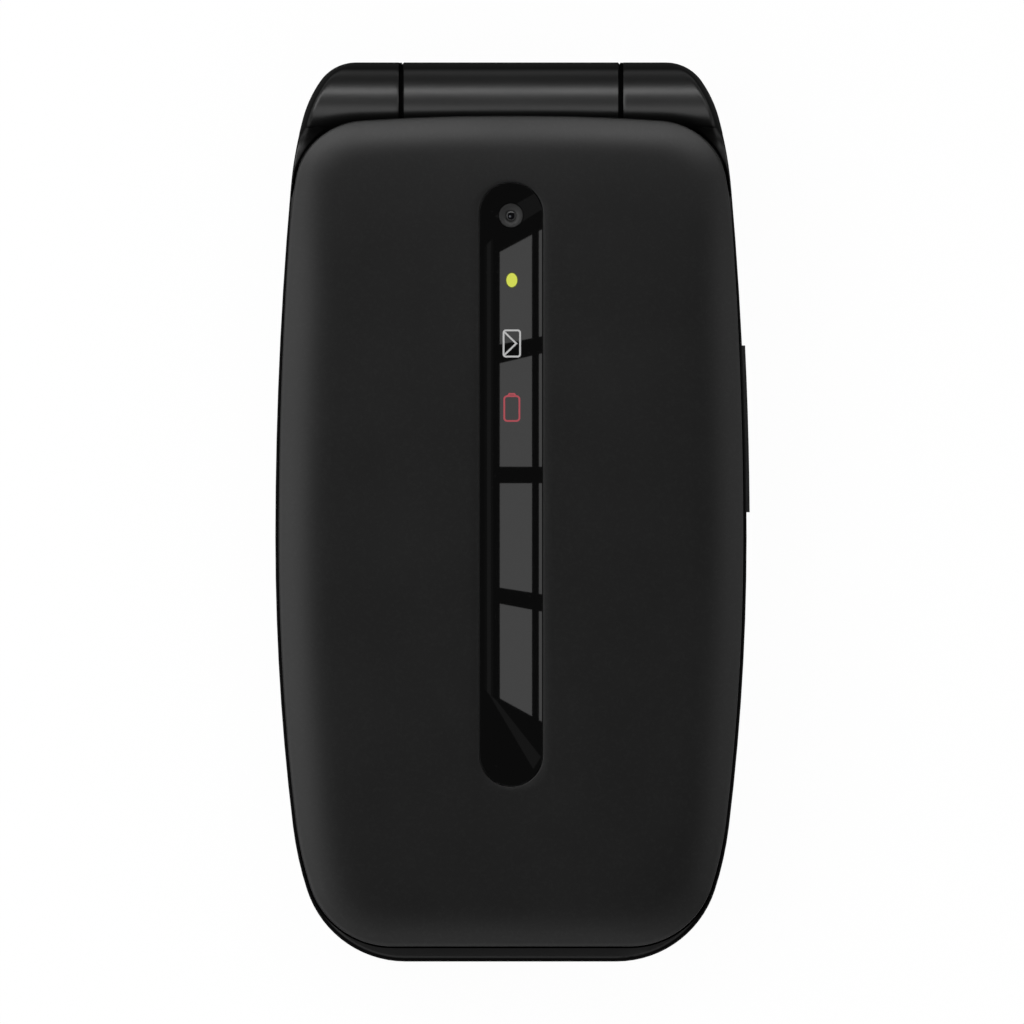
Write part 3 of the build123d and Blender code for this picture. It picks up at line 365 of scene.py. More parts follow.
@dataclass(frozen=True)
class Gloss:
    """Polished moulding or window with the faint waviness of a moulded face. Millimetres."""

    tone: Colour
    roughness: float = 0.008
    wave: float = 0.00012
    wave_length: float = 9.0
    smear: float = 5.0
    smear_stretch: Sequence[float] = (1.0, 0.3, 1.0)
    smear_low: float = 0.6
    smear_span: float = 0.8
    dust: float = 0.5
    dust_limit: float = 0.74
    dust_share: float = 0.15
    dust_tone: Colour = grey(0.05)
    dust_gloss: float = 0.004

    def material(self, name: str) -> Material:
        """Near-mirror surface with smears in its gloss and specks of dust.

        Args:
            name: The material's name.

        Returns:
            The material.
        """
        shader = Shader(name)
        smears = shader.noise(self.smear, 3.0, shader.stretched(self.smear_stretch))
        dust = shader.noise(self.dust) > self.dust_limit
        gloss = self.roughness * (self.smear_low + self.smear_span * smears)
        return shader.finish(
            base_color=shader.blend(dust * self.dust_share, self.tone, self.dust_tone),
            roughness=gloss + self.dust_gloss * dust,
            normal=shader.relief(shader.noise(self.wave_length, 0.0), self.wave))


@dataclass(frozen=True)
class Metal:
    """Sheet or turned metal, brushed along one axis. Millimetres."""

    tone: Colour
    roughness: float
    depth: float = 0.002
    brushing: Sequence[float] = (1.0, 14.0, 14.0)
    line: float = 0.5
    line_gloss: float = 0.14
    smudge: float = 3.0
    smudge_gloss: float = 0.08
    wear: float = 0.72

    def material(self, name: str) -> Material:
        """Metallic surface with brushing lines, smudges and worn tone.

        Args:
            name: The material's name.

        Returns:
            The material.
        """
        shader = Shader(name)
        lines = shader.noise(self.line, 2.0, shader.stretched(self.brushing))
        smudges = shader.noise(self.smudge, 3.0)
        gloss = self.roughness + self.line_gloss * (lines - 0.5)
        return shader.finish(
            base_color=shader.blend(smudges, self.tone, shade(self.tone, self.wear)),
            metallic=1.0, roughness=gloss + self.smudge_gloss * (smudges - 0.5),
            normal=shader.relief(lines, self.depth))


@dataclass(frozen=True)
class Clear:
    """Thin tinted glass or clear plastic. Millimetres."""

    tone: Colour
    alpha: float
    roughness: float = 0.02
    haze: float = 6.0
    haze_alpha: float = 0.04
    haze_gloss: float = 0.02
    wave: float = 0.0005
    wave_length: float = 12.0

    def material(self, name: str) -> Material:
        """Slightly hazy sheet that shows what lies behind it.

        Args:
            name: The material's name.

        Returns:
            The material.
        """
        shader = Shader(name)
        haze = shader.noise(self.haze)
        return shader.finish(
            base_color=self.tone, alpha=self.alpha + self.haze_alpha * (haze - 0.5),
            roughness=self.roughness + self.haze_gloss * haze,
            normal=shader.relief(shader.noise(self.wave_length, 0.0), self.wave))


@dataclass(frozen=True)
class Ink:
    """Printed mark: flat colour with the slight unevenness of screen printing. Millimetres."""

    tone: Colour
    lit: float = 0.0
    thin: float = 0.86
    blotch: float = 0.18
    roughness: float = 0.42
    rough_span: float = 0.08
    rough_size: float = 0.1

    def material(self, name: str) -> Material:
        """Satin ink, lit from behind where it covers a lamp.

        Args:
            name: The material's name.

        Returns:
            The material.
        """
        shader = Shader(name)
        colour = shader.blend(shader.noise(self.blotch), shade(self.tone, self.thin), self.tone)
        return shader.finish(
            base_color=colour,
            roughness=self.roughness + self.rough_span * shader.noise(self.rough_size),
            emission_color=colour, emission_strength=self.lit)


@dataclass(frozen=True)
class Board:
    """Circuit board or flexible circuit with tracks under its coat. Millimetres."""

    tone: Colour
    track: Colour
    pitch: float = 1.1
    roughness: float = 0.35
    track_share: float = 0.16
    cross_pitch: float = 1.3
    cross_share: float = 0.18
    region: float = 6.0
    region_limit: float = 0.42
    pad: float = 2.6
    pad_limit: float = 0.10
    pad_tone: Colour = (0.75, 0.55, 0.22)
    pad_metal: float = 0.9
    pad_gloss: float = 0.1
    coat_share: float = 0.6
    depth: float = 0.03

    def material(self, name: str) -> Material:
        """Solder mask over tracks that run one way or the other by region, with bare pads.

        Args:
            name: The material's name.

        Returns:
            The material.
        """
        shader = Shader(name)
        across = self.pitch * self.cross_pitch
        runs = shader.axis(0).repeat(self.pitch) < self.pitch * self.track_share
        crossings = shader.axis(1).repeat(across) < self.pitch * self.cross_share
        region = shader.cells(self.region) > self.region_limit
        tracks = runs * region + crossings * (1 - region)
        pads = shader.cells(self.pad) < self.pad_limit
        coated = shader.blend(tracks * self.coat_share, self.tone, self.track)
        return shader.finish(
            base_color=shader.blend(pads, coated, self.pad_tone), metallic=pads * self.pad_metal,
            roughness=self.roughness - self.pad_gloss * pads,
            normal=shader.relief(tracks + pads, self.depth))


@dataclass(frozen=True)
class Weave:
    """Woven dust screen. Millimetres."""

    tone: Colour
    pitch: float = 0.22
    hollow_shade: float = 0.25
    roughness: float = 0.5
    metallic: float = 0.4
    depth: float = 0.08

    def material(self, name: str) -> Material:
        """Two crossing sets of threads in relief, with painted shade in the hollows.

        Args:
            name: The material's name.

        Returns:
            The material.
        """
        shader = Shader(name)
        over, under = (shader.axis(way).repeat(self.pitch) * (2 / self.pitch) for way in (0, 1))
        threads = over * (1 - under) + under * (1 - over)
        return shader.finish(
            # darker where the threads dip: painted shade in the hollows
            base_color=shader.blend(threads, shade(self.tone, self.hollow_shade), self.tone),
            roughness=self.roughness, metallic=self.metallic,
            normal=shader.relief(threads, self.depth))


class Finish(Enum):
    """Every finish on the phone; the value is how it is made."""

    SOFT_TOUCH = Moulding(grey(0.0035), 0.32, grain=0.16, depth=0.0008, mottle=0.10, speckle=1.4,
                          dulling=0.55, dull_from=0.28)
    SATIN_CASE = Moulding(grey(0.0045), 0.37, grain=0.5, depth=0.0006, mottle=0.08,
                          specular=0.92, dulling=0.95)
    RIM = Moulding(grey(0.006), 0.34, grain=0.2, depth=0.002, mottle=0.08, dulling=0.8)
    TEXTURED_BACK = Moulding(grey(0.012), 0.46, grain=0.28, depth=0.012, mottle=0.10, dulling=0.5)
    DECK = Moulding(grey(0.0045), 0.37, grain=0.5, depth=0.0006, mottle=0.08, specular=0.92,
                    dulling=0.95, matte_corner=(38.0, 11.04))
    KEY_CAP = Moulding(grey(0.020), 0.24, grain=0.4, depth=0.002, mottle=0.06, coat=0.25)
    INNER = Moulding(grey(0.030), 0.55, grain=0.25, depth=0.010)
    RUBBER = Moulding(grey(0.016), 0.72, grain=0.18, depth=0.010)
    CAMERA_BODY = Moulding(grey(0.020), 0.45, grain=0.1, depth=0.003)
    CAMERA_RING = Moulding(grey(0.014), 0.40, grain=0.08, depth=0.0008, dulling=0.9)
    # near black and nearly unreflecting: painted shadow for the gaps round the barrel and the lid's
    # tail
    GASKET = Moulding(grey(0.0012), 0.90, grain=0.2, depth=0.002, specular=0.03, dulling=0.9)
    SLEEVE = Moulding((0.055, 0.058, 0.065), 0.38, grain=1.2, depth=0.020, mottle=0.05)
    WINDOW = Gloss(grey(0.0016))
    DISPLAY = Gloss((0.055, 0.062, 0.070), 0.12)
    STEEL = Metal(grey(0.55), 0.26)
    DARK_STEEL = Metal(grey(0.09), 0.34)
    PLATED = Metal(grey(0.62), 0.12, depth=0.001)
    GOLD = Metal((0.78, 0.56, 0.24), 0.22)
    GLASS = Clear(grey(0.010), 0.30)
    GUIDE = Clear(grey(0.75), 0.35, 0.12)
    LENS = Gloss((0.002, 0.002, 0.003), 0.02)
    # pale grey-blue spot in the camera's lens: painted glint
    COATING = Gloss((0.16, 0.17, 0.19), 0.05)
    FILM = Board((0.62, 0.58, 0.46), (0.50, 0.48, 0.40), 2.4)
    SOLDER_MASK = Board((0.010, 0.060, 0.028), (0.020, 0.110, 0.050))
    FLEX = Board((0.34, 0.14, 0.025), (0.46, 0.22, 0.05), 0.6)
    SCREEN = Weave(grey(0.11))
    WHITE_INK = Ink(grey(0.72))
    ICON_INK = Ink(grey(0.70), 0.10)
    RED_ICON = Ink((0.56, 0.080, 0.105), 0.12)
    LAMP_GLOW = Ink((0.70, 0.76, 0.085), 0.35)
    # glowing ring round the lit dot: painted glow of the lamp
    LAMP_HALO = Ink((0.085, 0.10, 0.010), 0.10)
    GREEN_INK = Ink((0.03, 0.42, 0.08))
    RED_INK = Ink((0.55, 0.03, 0.03))

    def material(self) -> Material:
        """This finish's material, made once."""
        known = bpy.data.materials.get(self.name.lower())
        return known or self.value.material(self.name.lower())


# ---- Mesh helpers --------------------------------------------------------------------------------
def placed(name: str, data: bpy.types.ID) -> Piece:
    """Puts a mesh, text, light or camera in the scene.

    Args:
        name: The new object's name.
        data: What it shows.

    Returns:
        The object.
    """
    piece = bpy.data.objects.new(name, data)
    bpy.context.scene.collection.objects.link(piece)
    return piece


def evaluated(piece: Piece) -> bpy.types.Mesh:
    """A mesh of a piece as its modifiers or its text make it."""
    view = bpy.context.evaluated_depsgraph_get()
    return bpy.data.meshes.new_from_object(piece.evaluated_get(view))


def smooth(piece: Piece, crease: float = CREASE) -> None:
    """Shades a piece smooth, except over edges sharper than the crease angle."""
    piece.data.shade_smooth()
    piece.data.set_sharp_from_angle(angle=math.radians(crease))


def solid(name: str, points: np.ndarray, faces: Iterable[Sequence[int]],
          crease: float = CREASE) -> Piece:
    """An object from points in millimetres.

    Args:
        name: The piece's name.
        points: Row per point.
        faces: Point numbers of each face.
        crease: Edges that turn by more than this many degrees stay sharp.

    Returns:
        The new object, linked to the scene.
    """
    mesh = bpy.data.meshes.new(name)
    mesh.from_pydata((np.asarray(points, float) * MM).tolist(), [], [list(face) for face in faces])
    made = bmesh.new()
    made.from_mesh(mesh)
    bmesh.ops.remove_doubles(made, verts=made.verts, dist=WELD)
    bmesh.ops.recalc_face_normals(made, faces=made.faces)
    made.to_mesh(mesh)
    made.free()
    piece = placed(name, mesh)
    smooth(piece, crease)
    return piece


def loft(name: str, rings: Sequence[np.ndarray], closed: bool = False,
         crease: float = CREASE) -> Piece:
    """Skins a chain of loops with equally many points.

    Args:
        name: The piece's name.
        rings: Loops of points in millimetres.
        closed: Joins the last loop to the first; otherwise both ends are capped.
        crease: See solid.

    Returns:
        The new object.
    """
    count, around = len(rings), len(rings[0])
    faces = []
    for row in range(count if closed else count - 1):
        low, high = row * around, (row + 1) % count * around
        for i in range(around):
            j = (i + 1) % around
            faces.append((low + i, low + j, high + j, high + i))
    if not closed:
        faces += [range(around), range((count - 1) * around, count * around)]
    return solid(name, np.concatenate(rings), faces, crease)


def raised(points: np.ndarray, height: Any) -> np.ndarray:
    """Plan points given a height, or one height each."""
    return np.column_stack([points, np.broadcast_to(height, len(points))])


def cut(piece: Piece, tool: Piece) -> None:
    """Takes one object's shape out of another.

    Args:
        piece: What is cut.
        tool: The shape that goes; it is removed from the scene.
    """
    modifier = piece.modifiers.new("cut", "BOOLEAN")
    modifier.operation, modifier.object, modifier.solver = "DIFFERENCE", tool, "EXACT"
    made = evaluated(piece)
    piece.modifiers.clear()
    old, piece.data = piece.data, made
    bpy.data.meshes.remove(old)
    smooth(piece)
    bpy.data.objects.remove(tool)


def welded(name: str, node: str) -> Piece:
    """Copies a node's mesh, with its loose points joined and its stored normals dropped.

    Args:
        name: The copy's name.
        node: The node.

    Returns:
        The new object.
    """
    made = bmesh.new()
    made.from_mesh(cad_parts[node].data)
    bmesh.ops.remove_doubles(made, verts=made.verts, dist=WELD)
    mesh = bpy.data.meshes.new(name)
    made.to_mesh(mesh)
    made.free()
    stored = mesh.attributes.get("custom_normal")
    if stored:
        mesh.attributes.remove(stored)
    return placed(name, mesh)


def even(piece: Piece) -> None:
    """Lets large faces lead the shading, so that flats stay flat beside their fillets.

    Args:
        piece: What is shaded.
    """
    smooth(piece)
    modifier = piece.modifiers.new("even", "WEIGHTED_NORMAL")
    modifier.keep_sharp, modifier.weight = True, 90


def cuboid(name: str, low: Sequence[float], high: Sequence[float]) -> Piece:
    """A box between two corners.

    Args:
        name: The piece's name.
        low: Its lowest corner in millimetres.
        high: Its highest corner.

    Returns:
        The box.
    """
    corners = [(x, y, z) for x in (low[0], high[0]) for y in (low[1], high[1])
               for z in (low[2], high[2])]
    return solid(name, np.array(corners), [
        (0, 1, 3, 2), (4, 6, 7, 5), (0, 4, 5, 1), (2, 3, 7, 6), (0, 2, 6, 4), (1, 5, 7, 3)])


def turned(name: str, profile: Sequence[Point], centre: Sequence[float], steps: int = 48,
           lying: bool = False) -> Piece:
    """A lathe-turned piece.

    Args:
        name: The piece's name.
        profile: (radius, height) pairs in millimetres.
        centre: Where the axis's zero lies.
        steps: Facets round the axis.
        lying: Turns about X instead of Z.

    Returns:
        The new object, closed at both ends.
    """
    angles = np.linspace(0, 2 * math.pi, steps, endpoint=False)
    rings = []
    for radius, height in profile:
        radius = max(radius, NEEDLE)
        wheel = radius * np.cos(angles), radius * np.sin(angles), np.full(steps, height)
        rings.append(np.column_stack([wheel[2], wheel[0], wheel[1]] if lying else wheel) + centre)
    return loft(name, rings)


def ribbon(name: str, points: Sequence[Point], width: float, bottom: float, top: float,
           closed: bool = False) -> Piece:
    """A flat stroke along a line, with mitred corners.

    Args:
        name: The piece's name.
        points: Corners in plan.
        width: The stroke's width.
        bottom: Height of its underside.
        top: Height of its upper side.
        closed: Joins the end to the start.

    Returns:
        The new object.
    """
    line = np.array(points, float)
    ahead = np.roll(line, -1, axis=0) - line
    behind = line - np.roll(line, 1, axis=0)
    if not closed:
        ahead[-1], behind[0] = behind[-1], ahead[0]
    ahead, behind = (v / np.linalg.norm(v, axis=1)[:, None] for v in (ahead, behind))
    side = np.column_stack([-(ahead + behind)[:, 1], (ahead + behind)[:, 0]])
    normal = np.column_stack([-ahead[:, 1], ahead[:, 0]])
    side *= (width / 2 / np.sum(side * normal, axis=1))[:, None]
    count = len(line)
    loops = [raised(line + side, bottom), raised(line - side, bottom),
             raised(line - side, top), raised(line + side, top)]
    faces = []
    for i in range(count if closed else count - 1):
        j = (i + 1) % count
        for a in range(4):
            b = (a + 1) % 4
            faces.append((a * count + i, a * count + j, b * count + j, b * count + i))
    if not closed:
        faces += [[a * count + end for a in range(4)] for end in (0, count - 1)]
    return solid(name, np.concatenate(loops), faces)


def joined(name: str, pieces: Sequence[Piece]) -> Piece:
    """Joins several objects.

    Args:
        name: The whole's name.
        pieces: Its parts, which are removed.

    Returns:
        The whole.
    """
    made = bmesh.new()
    for piece in pieces:
        made.from_mesh(piece.data)
        bpy.data.objects.remove(piece)
    mesh = bpy.data.meshes.new(name)
    made.to_mesh(mesh)
    made.free()
    whole = placed(name, mesh)
    smooth(whole)
    return whole


def dress(piece: Piece, finish: Finish, body: str, slot: str, *nodes: str) -> None:
    """Gives a piece its material and its place in the model.

    Args:
        piece: The piece.
        finish: Its finish.
        body: The body it rides on.
        slot: The record's material slot; not used.
        nodes: The nodes it stands for.
    """
    piece.data.materials.clear()
    piece.data.materials.append(finish.material())
    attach(piece, body)
    if nodes:
        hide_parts(*nodes)
    log.info("%s: %s on %s, %d faces", piece.name, finish.name.lower(), body,
             len(piece.data.polygons))


def extent(node: str) -> tuple[Vector, Vector]:
    """A node's lowest and highest corner in millimetres."""
    low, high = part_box(node)
    return low / MM, high / MM


# ---- Plan outline --------------------------------------------------------------------------------
@dataclass(frozen=True)
class Plan:
    """Closed plan outline, symmetric about Y, made of straight ends and tangent arcs.

    An end's radii leave out its last arc, which fits by itself, and its angles are the headings in
    degrees at which the arcs end. Arcs over the gentle radius have points a few pitches apart.
    """

    half_width: float
    head: float
    tail: float
    head_radii: tuple[float, ...]
    head_angles: tuple[float, ...]
    tail_radii: tuple[float, ...]
    tail_angles: tuple[float, ...]
    gentle: float = 20.0
    stride: int = 3

    def end(self, reach: float, radii: Sequence[float], angles: Sequence[float],
            pitch: float) -> tuple[np.ndarray, np.ndarray]:
        """One end's right half, from its middle to the widest point.

        Args:
            reach: From the widest place to the end.
            radii: The arcs' radii, without the last.
            angles: Heading where each arc ends.
            pitch: Point spacing on the tight arcs.

        Returns:
            Points and outward normals, with the end towards +Y from zero.
        """
        headings = [0.0, *[math.radians(angle) for angle in angles], math.pi / 2]
        arcs = list(zip(radii, headings, headings[1:]))
        drop = sum(r * (math.cos(a) - math.cos(b)) for r, a, b in arcs)
        last = (reach - drop) / math.cos(headings[-2])
        arcs.append((last, headings[-2], headings[-1]))
        flat = self.half_width - sum(r * (math.sin(b) - math.sin(a)) for r, a, b in arcs)
        points, normals = [], []
        for x in np.linspace(0, flat, max(2, round(flat / (self.stride * pitch))), endpoint=False):
            points.append((x, reach))
            normals.append((0.0, 1.0))
        x, y = flat, reach
        for radius, start, stop in arcs:
            spacing = pitch if radius < self.gentle else self.stride * pitch
            steps = max(3, math.ceil(radius * (stop - start) / spacing))
            for heading in np.linspace(start, stop, steps, endpoint=False):
                points.append((x + radius * (math.sin(heading) - math.sin(start)),
                               y - radius * (math.cos(start) - math.cos(heading))))
                normals.append((math.sin(heading), math.cos(heading)))
            x += radius * (math.sin(stop) - math.sin(start))
            y -= radius * (math.cos(start) - math.cos(stop))
        return np.array(points), np.array(normals)

    def loop(self, pitch: float = COARSE) -> tuple[np.ndarray, np.ndarray]:
        """The whole outline, clockwise from the head's middle.

        Args:
            pitch: Point spacing on the tight arcs.

        Returns:
            Points and outward normals.
        """
        head, head_normals = self.end(self.head - WIDEST, self.head_radii, self.head_angles, pitch)
        tail, tail_normals = self.end(WIDEST - self.tail, self.tail_radii, self.tail_angles, pitch)
        side = np.array([[self.half_width, 0.0]])
        flip, mirror = np.array([1.0, -1.0]), np.array([-1.0, 1.0])
        right = np.concatenate([head, side, (tail * flip)[::-1]])
        facing = np.concatenate([head_normals, [[1.0, 0.0]], (tail_normals * flip)[::-1]])
        points = np.concatenate([right, (right * mirror)[-2:0:-1]])
        normals = np.concatenate([facing, (facing * mirror)[-2:0:-1]])
        return points + (0.0, WIDEST), normals


# ---- Lid -----------------------------------------------------------------------------------------
@dataclass
class Lid:
    """Outer half: rolled soft-touch shell, long gloss window, camera and lit marks. Millimetres.

    The inside's lining has (inset, drop) pairs, and the ring's slope and the glint spot have
    (radius, drop) pairs, where a drop is a distance down from the top. The glint spot is a painted
    glint: a grey disc in the lens.
    """

    head_radii: tuple[float, ...] = (230.0, 8.3, 60.0)
    head_angles: tuple[float, ...] = (4.0, 80.0, 86.0)
    tail_radii: tuple[float, ...] = (10.1, 40.0)
    tail_angles: tuple[float, ...] = (72.0, 83.0)
    slope: float = 12.3
    slope_end: float = 0.3
    flat_start: float = 6.9
    head_from: float = 22.0
    head_quickening: float = 0.34
    head_easing: float = 0.25
    tail_from: float = -18.0
    tail_easing: float = 0.24
    nose_drop: float = 0.45
    nose_start: float = 24.0
    edge_radius: float = 0.14
    edge_rings: int = 6
    exact_inset: float = 1.6
    exact_rings: int = 5
    soft_rings: int = 25
    soft_spread: float = 1.25
    soft_power: float = 8.0
    wall: float = 1.3
    skin: float = 1.2
    lining: tuple[Point, ...] = ((6.0, 0.1), (1.8, 1.5), (1.3, 2.2))
    rim_radius: float = 0.10
    window_gap: float = 0.06
    ledge: float = 1.0
    pane_bevel: float = 0.03
    pane_border: float = 0.04
    seam_bevel: float = 0.14
    saddle_gap: float = 0.3
    saddle_reach: float = 60.0
    through: float = 1.0
    ring_edge: float = 0.04
    ring_bore: float = 0.60
    ring_slope: tuple[Point, ...] = ((0.86, 0.0), (0.80, 0.03), (0.66, 0.09), (0.60, 0.22))
    lens_radius: float = 0.59
    lens_sink: float = 0.28
    lens_rise: float = 0.10
    lens_foot: float = 0.5
    # grey disc in the lens, set to the lower left: painted glint
    glint_spot: tuple[Point, ...] = ((0.0, 0.165), (0.10, 0.168), (0.13, 0.20), (0.0, 0.20))
    glint_spot_shift: Point = (-0.12, -0.10)
    print_height: float = 0.015
    detail_drop: float = 0.002
    stroke: float = 0.21
    mark_x: float = 0.1
    mark_inset: float = 0.8
    lamp_size: Point = (0.64, 0.82)
    halo_share: float = 1.14
    halo_drop: float = 0.004
    letter_y: float = 19.85
    letter_size: Point = (1.94, 3.08)
    letter_corner: float = 0.28
    flap: Point = (0.52, 0.1)
    cell_size: Point = (1.78, 2.92)
    cell_corner: float = 0.36
    cell_shift: float = 0.1
    nub: tuple[Point, ...] = ((-0.42, 1.42), (-0.30, 1.62), (0.30, 1.62), (0.42, 1.42))
    body: str = "lid"
    low: Vector = field(init=False)
    high: Vector = field(init=False)
    window_low: Vector = field(init=False)
    window_high: Vector = field(init=False)
    ring_low: Vector = field(init=False)
    ring_high: Vector = field(init=False)
    camera: Vector = field(init=False)

    def __post_init__(self) -> None:
        """Takes the places of the shell, the window and the camera from the frame."""
        self.low, self.high = extent("lid_cover")
        self.window_low, self.window_high = extent("outer_window")
        self.ring_low, self.ring_high = extent("camera_ring")
        self.camera = (self.ring_low + self.ring_high) / 2

    def plan(self) -> Plan:
        """The lid's outline."""
        return Plan(self.high.x, self.high.y, self.low.y, self.head_radii, self.head_angles,
                    self.tail_radii, self.tail_angles)

    def towards(self, plan: np.ndarray, start: float, end: float) -> np.ndarray:
        """Share from 0 to 1 of each plan point's way along the phone, eased at both ends."""
        return eased(np.clip((plan[:, 1] - start) / (end - start), 0, 1))

    def rise(self, inset: np.ndarray | float, plan: np.ndarray) -> np.ndarray:
        """Height of the top's roll, shorter at the head and gentler at the tail.

        Args:
            inset: Distance in from the edge.
            plan: The points' places.

        Returns:
            Heights.
        """
        head = self.towards(plan, self.head_from, self.high.y)
        tail = self.towards(plan, self.tail_from, self.low.y)
        pitch = math.tan(math.radians(self.slope)) * (
            1 - self.head_easing * head - self.tail_easing * tail)
        fade = (self.flat_start - self.slope_end) * (1 - self.head_quickening * head)
        straight = np.clip(self.slope_end - inset, 0, None) * pitch
        share = np.clip((inset - self.slope_end) / fade, 0, 1)
        bend = pitch * fade * (0.5 - share + share ** 3 - share ** 4 / 2)
        return self.high.z - straight - bend

    def nose(self, plan: np.ndarray) -> np.ndarray:
        """How far the top dips towards the barrel at each plan point."""
        share = np.clip((plan[:, 1] - self.nose_start) / (self.high.y - self.nose_start), 0, 1)
        return self.nose_drop * share ** 4

    def depth_in(self, points: np.ndarray, edge: np.ndarray) -> np.ndarray:
        """Soft distance to the outline: exact at straight edges, rounded in corners.

        Args:
            points: Plan points.
            edge: Points on the outline.

        Returns:
            A distance for each plan point.
        """
        power = self.soft_power
        along = np.linalg.norm(np.roll(edge, -1, axis=0) - edge, axis=1)
        scale = math.sqrt(math.pi) * math.gamma((power - 1) / 2) / math.gamma(power / 2)
        gaps = np.linalg.norm(points[:, None, :] - edge[None, :, :], axis=2)
        pull = np.sum(along / np.maximum(gaps, TINY) ** power, axis=1) / scale
        return pull ** (-1 / (power - 1))

    def slot(self, points: np.ndarray) -> tuple[np.ndarray, np.ndarray]:
        """The window's round-ended outline, as seen from points round it.

        Args:
            points: Plan points.

        Returns:
            For each, the nearest point on the outline and its normal.
        """
        radius = (self.window_high.x - self.window_low.x) / 2
        reach = np.clip(points[:, 1], self.window_low.y + radius, self.window_high.y - radius)
        spine = np.column_stack([np.zeros(len(points)), reach])
        away = points - spine
        facing = away / np.linalg.norm(away, axis=1)[:, None]
        return spine + facing * radius, facing

    def shell(self) -> Piece:
        """The shell: wall, tight edge, long soft roll, flat top, window seat and hollow inside.

        Returns:
            The shell, whole where the barrel's saddle goes.
        """
        edge, facing = self.plan().loop()
        seat, seat_facing = self.slot(edge)
        tilt = math.radians(self.slope)
        corner_inset = self.edge_radius * (1 - math.sin(tilt))
        wall_top = self.rise(corner_inset, edge) - self.edge_radius * math.cos(tilt)
        foot, dip = self.low.z + self.seam_bevel, self.nose(edge)
        rings = [raised(edge - facing * self.seam_bevel, self.low.z), raised(edge, foot)]
        for share in (0.25, 0.5, 0.75, 1.0):
            rings.append(raised(edge, foot + (wall_top - dip - foot) * share))
        for angle in np.linspace(0, math.pi / 2 - tilt, self.edge_rings + 1)[1:]:
            inset = self.edge_radius * (1 - math.cos(angle))
            rings.append(raised(edge - facing * inset,
                                wall_top - dip + self.edge_radius * math.sin(angle)))
        for inset in np.linspace(corner_inset, self.exact_inset, self.exact_rings + 1)[1:]:
            plan = edge - facing * inset
            rings.append(raised(plan, self.rise(inset, plan) - self.nose(plan)))
        start = edge - facing * self.exact_inset
        stop = seat + seat_facing * (self.window_gap + self.rim_radius)
        fine_edge, _ = self.plan().loop(FINE)
        for share in np.linspace(0, 1, self.soft_rings + 1)[1:] ** self.soft_spread:
            plan = start * (1 - share) + stop * share
            soft = np.maximum(self.depth_in(plan, fine_edge), self.exact_inset)
            rings.append(raised(plan, self.rise(soft, plan) - self.nose(plan)))
        for angle in np.linspace(0, math.pi / 2, 5)[1:]:
            rim = seat + seat_facing * (self.window_gap + self.rim_radius * (1 - math.sin(angle)))
            sink = self.rim_radius * (1 - math.cos(angle))
            rings.append(raised(rim, self.high.z - self.nose(rim) - sink))
        ceiling, inner = self.high.z - self.skin, seat - seat_facing * self.ledge
        rings += [raised(seat + seat_facing * self.window_gap, self.window_low.z),
                  raised(inner, self.window_low.z), raised(inner, ceiling)]
        rings += [raised(edge - facing * inset, ceiling - drop) for inset, drop in self.lining]
        rings.append(raised(edge - facing * self.wall, self.low.z))
        return loft("lid_shell", rings, closed=True)

    def window(self) -> Piece:
        """The window: a plate with a fine bright edge, bored for the camera's ring.

        Returns:
            The plate.
        """
        seat, facing = self.slot(self.plan().loop()[0])
        bottom, top, bevel = self.window_low.z, self.window_high.z, self.pane_bevel
        rings = [raised(seat, bottom), raised(seat, top - bevel)]
        for angle in np.linspace(0, math.pi / 2, 4)[1:]:
            rings.append(raised(seat - facing * bevel * (1 - math.cos(angle)),
                                top - bevel * (1 - math.sin(angle))))
        rings.append(raised(seat - facing * (bevel + self.pane_border), top))
        pane = loft("window_pane", rings)
        bore = self.ring_high.x - self.camera.x + self.window_gap
        profile = [(bore, bottom - self.through), (bore, top + self.through)]
        cut(pane, turned("bore", profile, (self.camera.x, self.camera.y, 0.0), steps=64))
        return pane

    def camera_pieces(self) -> tuple[Piece, Piece, Piece]:
        """The camera's parts.

        Returns:
            The ring, the small domed lens in it, and the dark pupil under the lens.
        """
        outer, bottom, top = self.ring_high.x - self.camera.x, self.ring_low.z, self.ring_high.z
        x, y, edge, radius = self.camera.x, self.camera.y, self.ring_edge, self.lens_radius
        slope, glint_spot = ([(r, top - drop) for r, drop in pairs]
                        for pairs in (self.ring_slope, self.glint_spot))
        wall = [(self.ring_bore, bottom), (outer, bottom), (outer, top - edge), (outer - edge, top)]
        ring = turned("camera_bezel", wall + slope, (x, y, 0.0))
        dome = [(radius * math.sin(a), top - self.lens_sink + self.lens_rise * math.cos(a))
                for a in np.linspace(0, math.pi / 2, 8)]
        foot = [(radius, top - self.lens_foot), (0.0, top - self.lens_foot)]
        lens = turned("camera_lens", dome + foot, (x, y, 0.0), steps=32)
        # painted glint: a grey spot set to the lower left in the lens
        place = (x + self.glint_spot_shift[0], y + self.glint_spot_shift[1], 0.0)
        return ring, lens, turned("camera_pupil", glint_spot, place, steps=20)

    def sign(self, name: str, finish: Finish, border: Sequence[Point],
             detail: Sequence[Point]) -> None:
        """Prints a mark on the window.

        Args:
            name: Its name.
            finish: Its ink.
            border: Corners of its closed line.
            detail: Corners of its open line, which lies a little lower.
        """
        bottom, top = self.window_high.z, self.window_high.z + self.print_height
        mark = joined(name, [ribbon("a", border, self.stroke, bottom, top, True),
                             ribbon("b", detail, self.stroke, bottom, top - self.detail_drop)])
        dress(mark, finish, self.body, "lamp")

